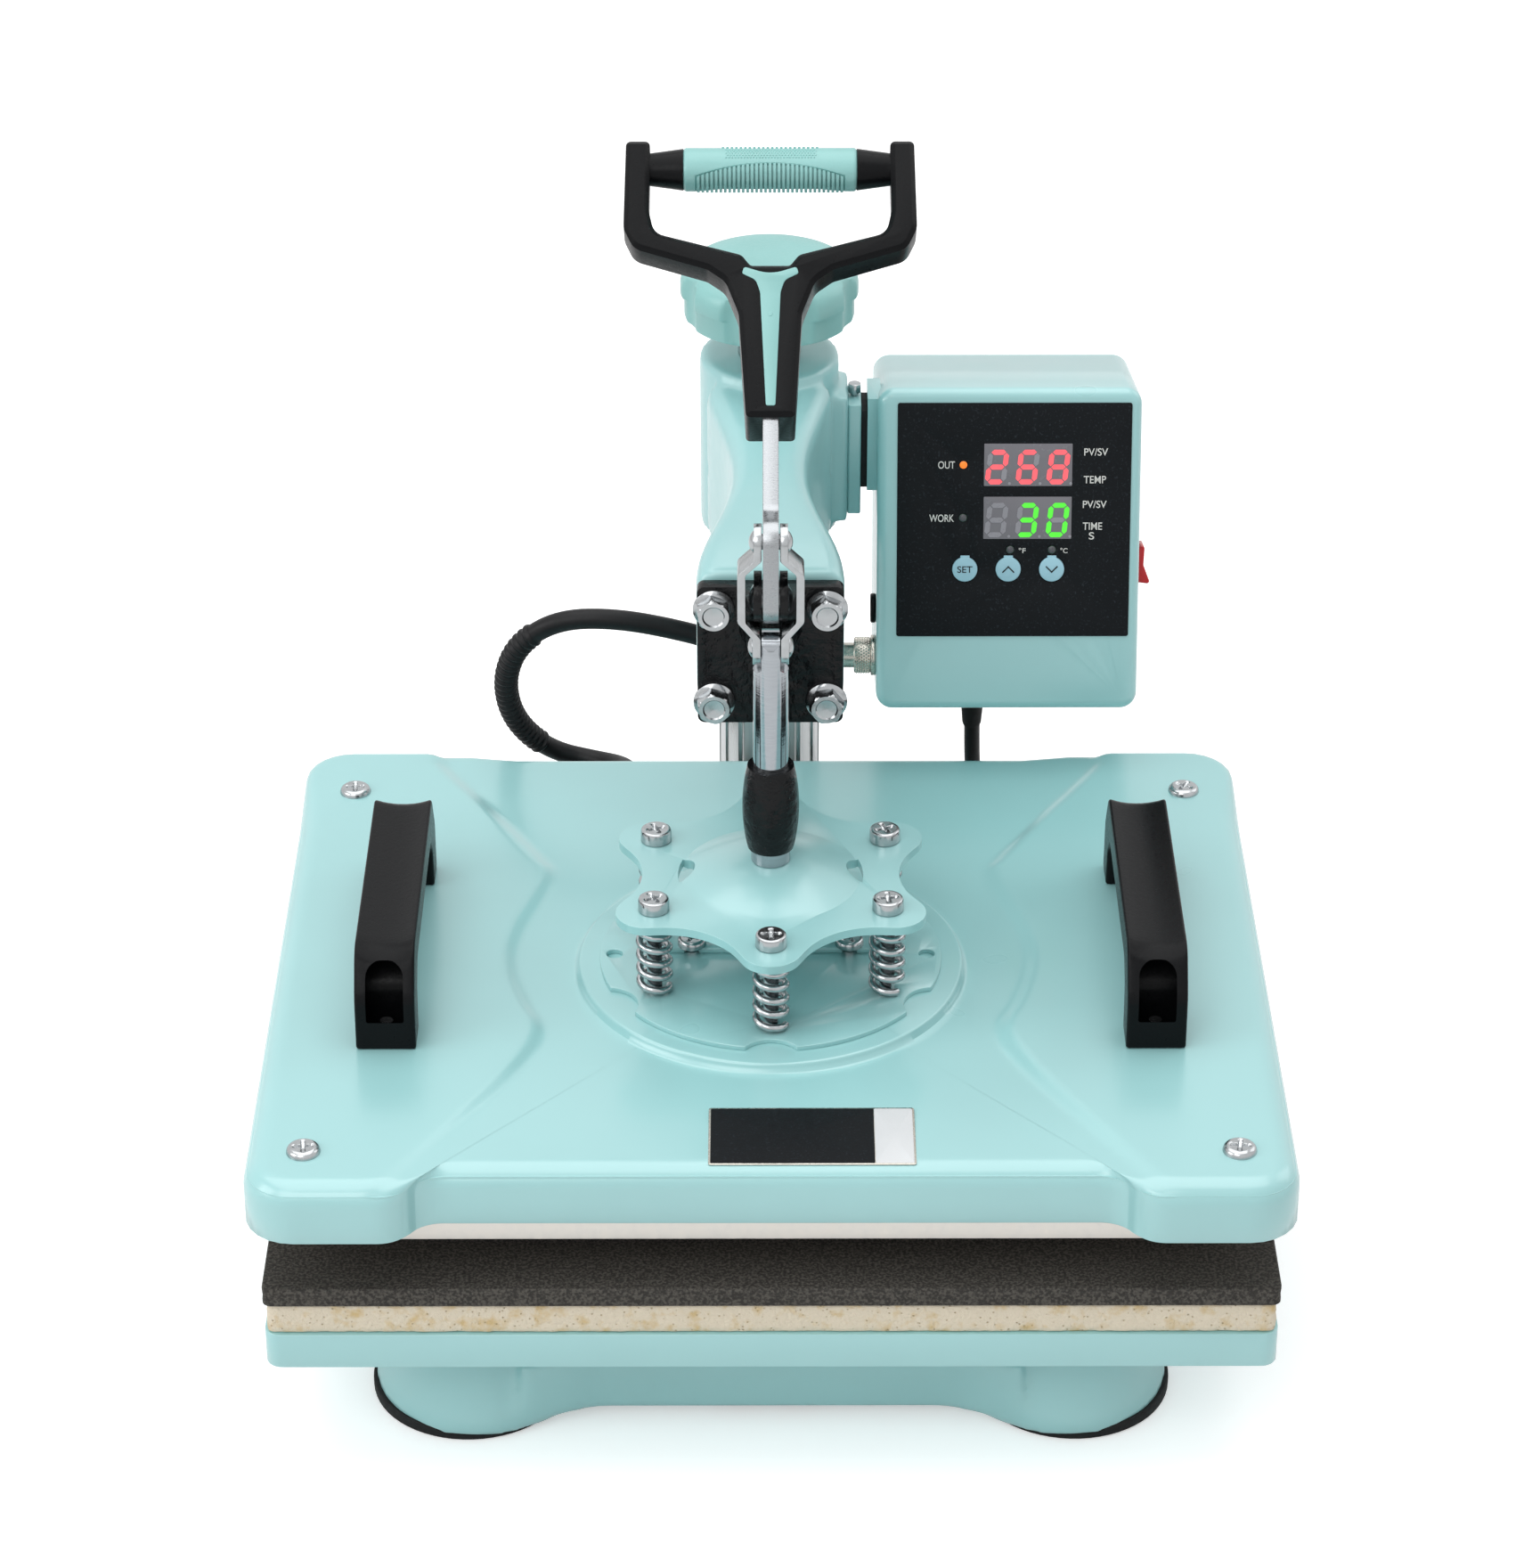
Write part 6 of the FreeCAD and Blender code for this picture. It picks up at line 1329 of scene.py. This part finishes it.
class PRESS_OT_platen_parts(bpy.types.Operator):
    """Disc, strap, side handles, springs and screws of the upper platen"""
    bl_idname = "press.platen_parts"
    bl_label = "Upper platen"

    def execute(self, context):
        settings = context.scene.press_springs
        body, quarter = "upper_platen", 1.57
        dress(softened("spring_disc", "mounting_disc", 0.0005), body, "mint_sheet", ["mounting_disc"])
        dress(softened("strap", "clamp_strap", 0.0005), body, "mint_sheet", ["clamp_strap"])
        handles = joined("carry_handles", [carry_handle(-0.147), carry_handle(0.147)])
        dress(tidied(handles), body, "black_plastic", ["side_handles"], 40.0)
        dress(softened("hot_plate", "heating_plate", 0.0006), body, "ptfe_aluminium", ["heating_plate"])
        dress(softened("cable_entry", "cable_gland", 0.0005), body, "black_plastic", ["cable_gland"])

        def coils(tree, given):
            inner = add(tree, "ShaderNodeMath", {"operation": "SUBTRACT"},
                        {0: given["Coil radius"], 1: given["Wire radius"]})
            helix = add(tree, "GeometryNodeCurveSpiral", links={
                "Resolution": 22, "Rotations": given["Turns"], "Start Radius": inner.outputs[0],
                "End Radius": inner.outputs[0], "Height": given["Height"]})
            wire = add(tree, "GeometryNodeCurvePrimitiveCircle",
                       links={"Resolution": 12, "Radius": given["Wire radius"]})
            coil = add(tree, "GeometryNodeCurveToMesh", links={
                "Curve": helix.outputs[0], "Profile Curve": wire.outputs[0], "Fill Caps": True})
            spots = add(tree, "GeometryNodeMeshCircle",
                        links={"Vertices": given["Count"], "Radius": given["Circle radius"]})
            turn = add(tree, "FunctionNodeRandomValue", {"data_type": "FLOAT_VECTOR"},
                       {0: (0.0, 0.0, 0.0), 1: (0.0, 0.0, 6.28), "Seed": 7})
            return add(tree, "GeometryNodeInstanceOnPoints", links={
                "Points": spots.outputs[0], "Instance": coil.outputs[0],
                "Rotation": turn.outputs[0]}).outputs[0]

        disc_top, spider_low = 0.143, 0.1759
        ground = disc_top + settings.wire
        springs = grown("spring_coils", "zinc", {
            "Count": settings.count, "Circle radius": settings.circle, "Wire radius": settings.wire,
            "Coil radius": 0.00725, "Turns": settings.turns,
            "Height": spider_low - settings.wire - ground}, coils)
        at(springs, Matrix.Translation((0.0, PLUNGER_Y, ground)) @ Matrix.Rotation(math.pi / 6, 4, "Z"))
        dress(tidied(springs), body, "zinc", ["springs"], 50.0)
        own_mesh(springs)

        head = screw_head(radius=0.006, height=0.005, rim=0.0011, cross=0.0034, deep=0.002, shank=0.003,
                          length=0.0389)
        ring = {"Count": settings.count, "Circle radius": settings.circle}
        screws = screw_set("spring_screw_set", head, ring, quarter, 12)
        at(screws, Matrix.Translation((0.0, PLUNGER_Y, 0.1799)) @ Matrix.Rotation(math.pi / 6, 4, "Z"))
        dress(tidied(screws), body, "zinc", ["spring_screws"], 30.0)

        head = screw_head(radius=0.0064, height=0.0026, rim=0.0024, cross=0.0036, deep=0.0015, shank=0.0025,
                          length=0.012)
        corners = screw_set("corner_screw_set", head, {"Across": 0.346, "Along": 0.263}, quarter, 5)
        at(corners, Matrix.Translation((0.0, PLUNGER_Y, COVER_TOP)))
        dress(tidied(corners), body, "zinc", ["corner_screws"], 30.0)

        head = screw_head(radius=0.0056, height=0.003, rim=0.0014, cross=0.0031, deep=0.0014, shank=0.0025,
                          length=0.004)
        pair = []
        for side in (-1, 1):
            one = linked("strap_screw", head.data.copy())
            pair.append(at(one, Matrix.Translation((side * 0.031, -0.0507, 0.1455))
                           @ Matrix.Rotation(0.4 * side, 4, "Z")))
        bpy.data.objects.remove(head)
        dress(tidied(joined("strap_screw_pair", pair)), body, "zinc", ["strap_screws"], 30.0)
        return {"FINISHED"}


# Segments of a digit, in steps of its width and height: ends of each bar
SEGMENTS = {
    "a": ((-1, 1), (1, 1)), "b": ((1, 1), (1, 0)), "c": ((1, 0), (1, -1)), "d": ((-1, -1), (1, -1)),
    "e": ((-1, 0), (-1, -1)), "f": ((-1, 1), (-1, 0)), "g": ((-1, 0), (1, 0)),
}
SHOWN = {"2": "abged", "6": "afgedc", "8": "abcdefg", "3": "abgcd", "0": "abcdef", " ": ""}


def digit(name, x, y, wanted, z):
    """Bars of one slanted digit, those that are lit or those that aren't."""
    half, tall, wide, lean = 0.0033, 0.0062, 0.0021, 0.11
    bars = []
    for key in wanted:
        (ax, ay), (bx, by) = SEGMENTS[key]
        a, b = Vector((ax * half, ay * tall)), Vector((bx * half, by * tall))
        way = (b - a).normalized()
        side = Vector((-way.y, way.x)) * wide / 2
        a, b = a + way * 0.0003, b - way * 0.0003
        cut = way * wide / 2
        loop = [a, a + cut + side, b - cut + side, b, b - cut - side, a + cut - side]
        loop = [Vector((x + p.x + p.y * lean, y + p.y)) for p in loop]
        bars.append(ringed("bar", [[Vector((p.x, p.y, h)) for p in loop] for h in (z, z + 0.0001)]))
    return joined(name, bars)


class PRESS_OT_control_box(bpy.types.Operator):
    """Control box with its panel, displays, keys, lamps and switch"""
    bl_idname = "press.control_box"
    bl_label = "Control box"

    def execute(self, context):
        place = to_box()
        for name, node, edge, body, look, crease in (
                ("box_casing", "box_shell", 0.0006, "arm", "mint_sheet", 40.0),
                ("box_back", "box_back_cover", 0.0008, "arm", "mint_sheet", 40.0),
                ("bracket", "control_bracket", 0.0007, "arm", "mint_cast", 35.0),
                ("gasket", "bracket_gasket", 0.0004, "arm", "rubber_black", 35.0),
                ("bracket_bolts", "bracket_screws", 0.0003, "arm", "zinc", 35.0),
                ("overlay_panel", "control_panel", 0.00012, "arm", "panel_black", 35.0),
                ("switch_frame", "switch_housing", 0.0004, "arm", "black_plastic", 35.0),
                ("fuse_cap", "fuse_holder", 0.0006, "arm", "black_plastic", 35.0),
                ("rocker_cap", "rocker_switch", 0.0005, "rocker", "switch_red", 35.0)):
            dress(softened(name, node, edge), body, look, [node], crease)

        middle, window_half, window_tall, digit_pitch = 0.0077, 0.0182, 0.0089, 0.01265
        for name, y, lit, text in (("red", 0.1043, "red_light", "268"),
                                   ("green", 0.082, "green_light", " 30")):
            window = slab(f"{name}_window", middle - window_half, middle + window_half, y - window_tall,
                          y + window_tall, 0.0, 0.00062, 0.0003, 0.0001)
            dress(at(window, place), "arm", "display")
            on, off = [], []
            for i, mark in enumerate(text):
                x = middle + (i - 1) * digit_pitch - 0.0002
                rest = [key for key in SEGMENTS if key not in SHOWN[mark]]
                if SHOWN[mark]:
                    on.append(digit("on", x, y - 0.0009, SHOWN[mark], 0.00064))
                if rest:
                    off.append(digit("off", x, y - 0.0009, rest, 0.00063))
                dot = ringed("dot", [circle(0.0006, z, 12) for z in (0.00063, 0.00073)])
                off.append(at(dot, Matrix.Translation((x + 0.0052, y - 0.0078, 0.0))))
            dress(at(joined(f"{name}_lit_segments", on), place), "arm", lit)
            dress(at(joined(f"{name}_unlit_segments", off), place), "arm", "unlit")

        for name, x, y, look in (("out", -0.019, 0.1043, "lamp_light"), ("work", -0.019, 0.082, "lamp"),
                                 ("fahrenheit", 0.0007, 0.0685, "lamp"), ("celsius", 0.018, 0.0685, "lamp")):
            lens = ringed(f"{name}_lamp", [circle(r, z, 24) for r, z in (
                (0.00155, 0.0), (0.00155, 0.0006), (0.0013, 0.0009), (0.0007, 0.0011))])
            dress(at(lens, place @ Matrix.Translation((x, y, 0.0))), "arm", look)

        for name, text, tall, wide, x, y in (
                ("out_word", "OUT", 0.0031, 0.0069, -0.0260, 0.1043),
                ("work_word", "WORK", 0.0031, 0.0102, -0.0278, 0.0819),
                ("pv_red_word", "PV/SV", 0.0031, 0.0098, 0.0356, 0.1097),
                ("temp_word", "TEMP", 0.0031, 0.0092, 0.0353, 0.0981),
                ("pv_green_word", "PV/SV", 0.0031, 0.0098, 0.0354, 0.0877),
                ("time_word", "TIME", 0.0031, 0.0080, 0.0346, 0.0785),
                ("seconds_word", "S", 0.0031, 0.0022, 0.0343, 0.0744),
                ("fahrenheit_word", "°F", 0.0022, 0.0029, 0.0057, 0.0682),
                ("celsius_word", "°C", 0.0022, 0.0030, 0.0230, 0.0682)):
            dress(at(word(name, text, tall, wide, x, y, 0.00061), place), "arm", "legend", (), 60.0)

        y, key_top = 0.0603, 0.00121
        for name, x in (("set", -0.018), ("up", 0.0), ("down", 0.018)):
            dress(softened(f"{name}_keycap", f"{name}_button", 0.0003), f"{name}_key", "button_blue",
                  [f"{name}_button"])
            if name == "set":
                mark = word("set_word", "SET", 0.0028, 0.0063, x, y, key_top)
            else:
                rise = 0.0011 if name == "up" else -0.0011
                bend = [(x - 0.0022, y - rise), (x, y + rise), (x + 0.0022, y - rise)]
                mark = stroke(f"{name}_chevron", bend, 0.00055, key_top)
            dress(at(mark, place), f"{name}_key", "ink", (), 60.0)
            tab = slab(f"{name}_key_tab", x - 0.0019, x + 0.0019, y + 0.0049, y + 0.0058, 0.0003, 0.0009,
                       0.0002, 0.0001)
            dress(at(tab, place), "arm", "button_blue")

        dress(softened("box_socket", "cable_socket", 0.0003), "arm", "nickel", ["cable_socket"])
        dress(softened("cable_connector", "cable_plug", 0.0003), "arm", "nickel", ["cable_plug"])

        def teeth(tree, given):
            spots = add(tree, "GeometryNodeMeshCircle",
                        links={"Vertices": given["Teeth"], "Radius": given["Ring radius"]})
            size = add(tree, "ShaderNodeCombineXYZ",
                       links={0: given["Tooth"], 1: given["Tooth"], 2: given["Length"]})
            tooth = add(tree, "GeometryNodeMeshCube", links={
                "Size": size.outputs[0], "Vertices X": 2, "Vertices Y": 2, "Vertices Z": 2})
            way = add(tree, "FunctionNodeAlignEulerToVector", {"axis": "X"},
                      {"Vector": add(tree, "GeometryNodeInputPosition").outputs[0]})
            skew = add(tree, "FunctionNodeRotateEuler", {"space": "LOCAL"},
                       {"Rotation": way.outputs[0], "Rotate By": (0.785, 0.0, 0.785)})
            return add(tree, "GeometryNodeInstanceOnPoints", links={
                "Points": spots.outputs[0], "Instance": tooth.outputs[0],
                "Rotation": skew.outputs[0]}).outputs[0]

        rows = []
        for k in range(6):
            rows.append(at(grown("knurl_row", "nickel", {"Teeth": 36, "Ring radius": 0.0072, "Tooth": 0.0007,
                                                         "Length": 0.0007}, teeth),
                           Matrix.Rotation(math.radians(5.0 * (k % 2)), 4, "Z")
                           @ Matrix.Translation((0.0, 0.0, 0.0010 * k))))
        knurl = at(joined("connector_knurl", rows), Matrix.Translation((0.0365, 0.116, 0.1837))
                   @ Matrix.Rotation(math.pi / 2, 4, "Y"))
        dress(tidied(knurl), "arm", "nickel", (), 20.0)
        return {"FINISHED"}


# Registration and order of making


OPERATORS = (PRESS_OT_stage, PRESS_OT_finishes, PRESS_OT_platen_cable, PRESS_OT_mains_lead, PRESS_OT_base,
             PRESS_OT_pads, PRESS_OT_arm, PRESS_OT_toggle, PRESS_OT_lever, PRESS_OT_plunger, PRESS_OT_cover,
             PRESS_OT_platen_parts, PRESS_OT_control_box)
SETTINGS = {
    "press_colours": PressColours, "press_cover": PressCover, "press_springs": PressSprings,
    "press_pads": PressPads, "press_grip": PressGrip, "press_cords": PressCords, "press_stage": PressStage,
}


class PRESS_PT_panel(bpy.types.Panel):
    """Sizes, colours and pieces of the heat press"""
    bl_idname = "PRESS_PT_panel"
    bl_label = "Heat press"
    bl_space_type = "VIEW_3D"
    bl_region_type = "UI"
    bl_category = "Heat press"

    def draw(self, context):
        for key, group in SETTINGS.items():
            box = self.layout.box()
            for name in group.__annotations__:
                box.prop(getattr(context.scene, key), name)
        for operator in OPERATORS:
            self.layout.operator(operator.bl_idname)


def register():
    for key, group in SETTINGS.items():
        bpy.utils.register_class(group)
        setattr(bpy.types.Scene, key, PointerProperty(type=group))
    for cls in OPERATORS + (PRESS_PT_panel,):
        bpy.utils.register_class(cls)


def unregister():
    for cls in reversed(OPERATORS + (PRESS_PT_panel,)):
        bpy.utils.unregister_class(cls)
    for key, group in reversed(SETTINGS.items()):
        delattr(bpy.types.Scene, key)
        bpy.utils.unregister_class(group)


def main():
    """Makes every piece in order."""
    register()
    for operator in OPERATORS:
        getattr(bpy.ops.press, operator.bl_idname.split(".")[1])()


if __name__ == "__main__":
    main()
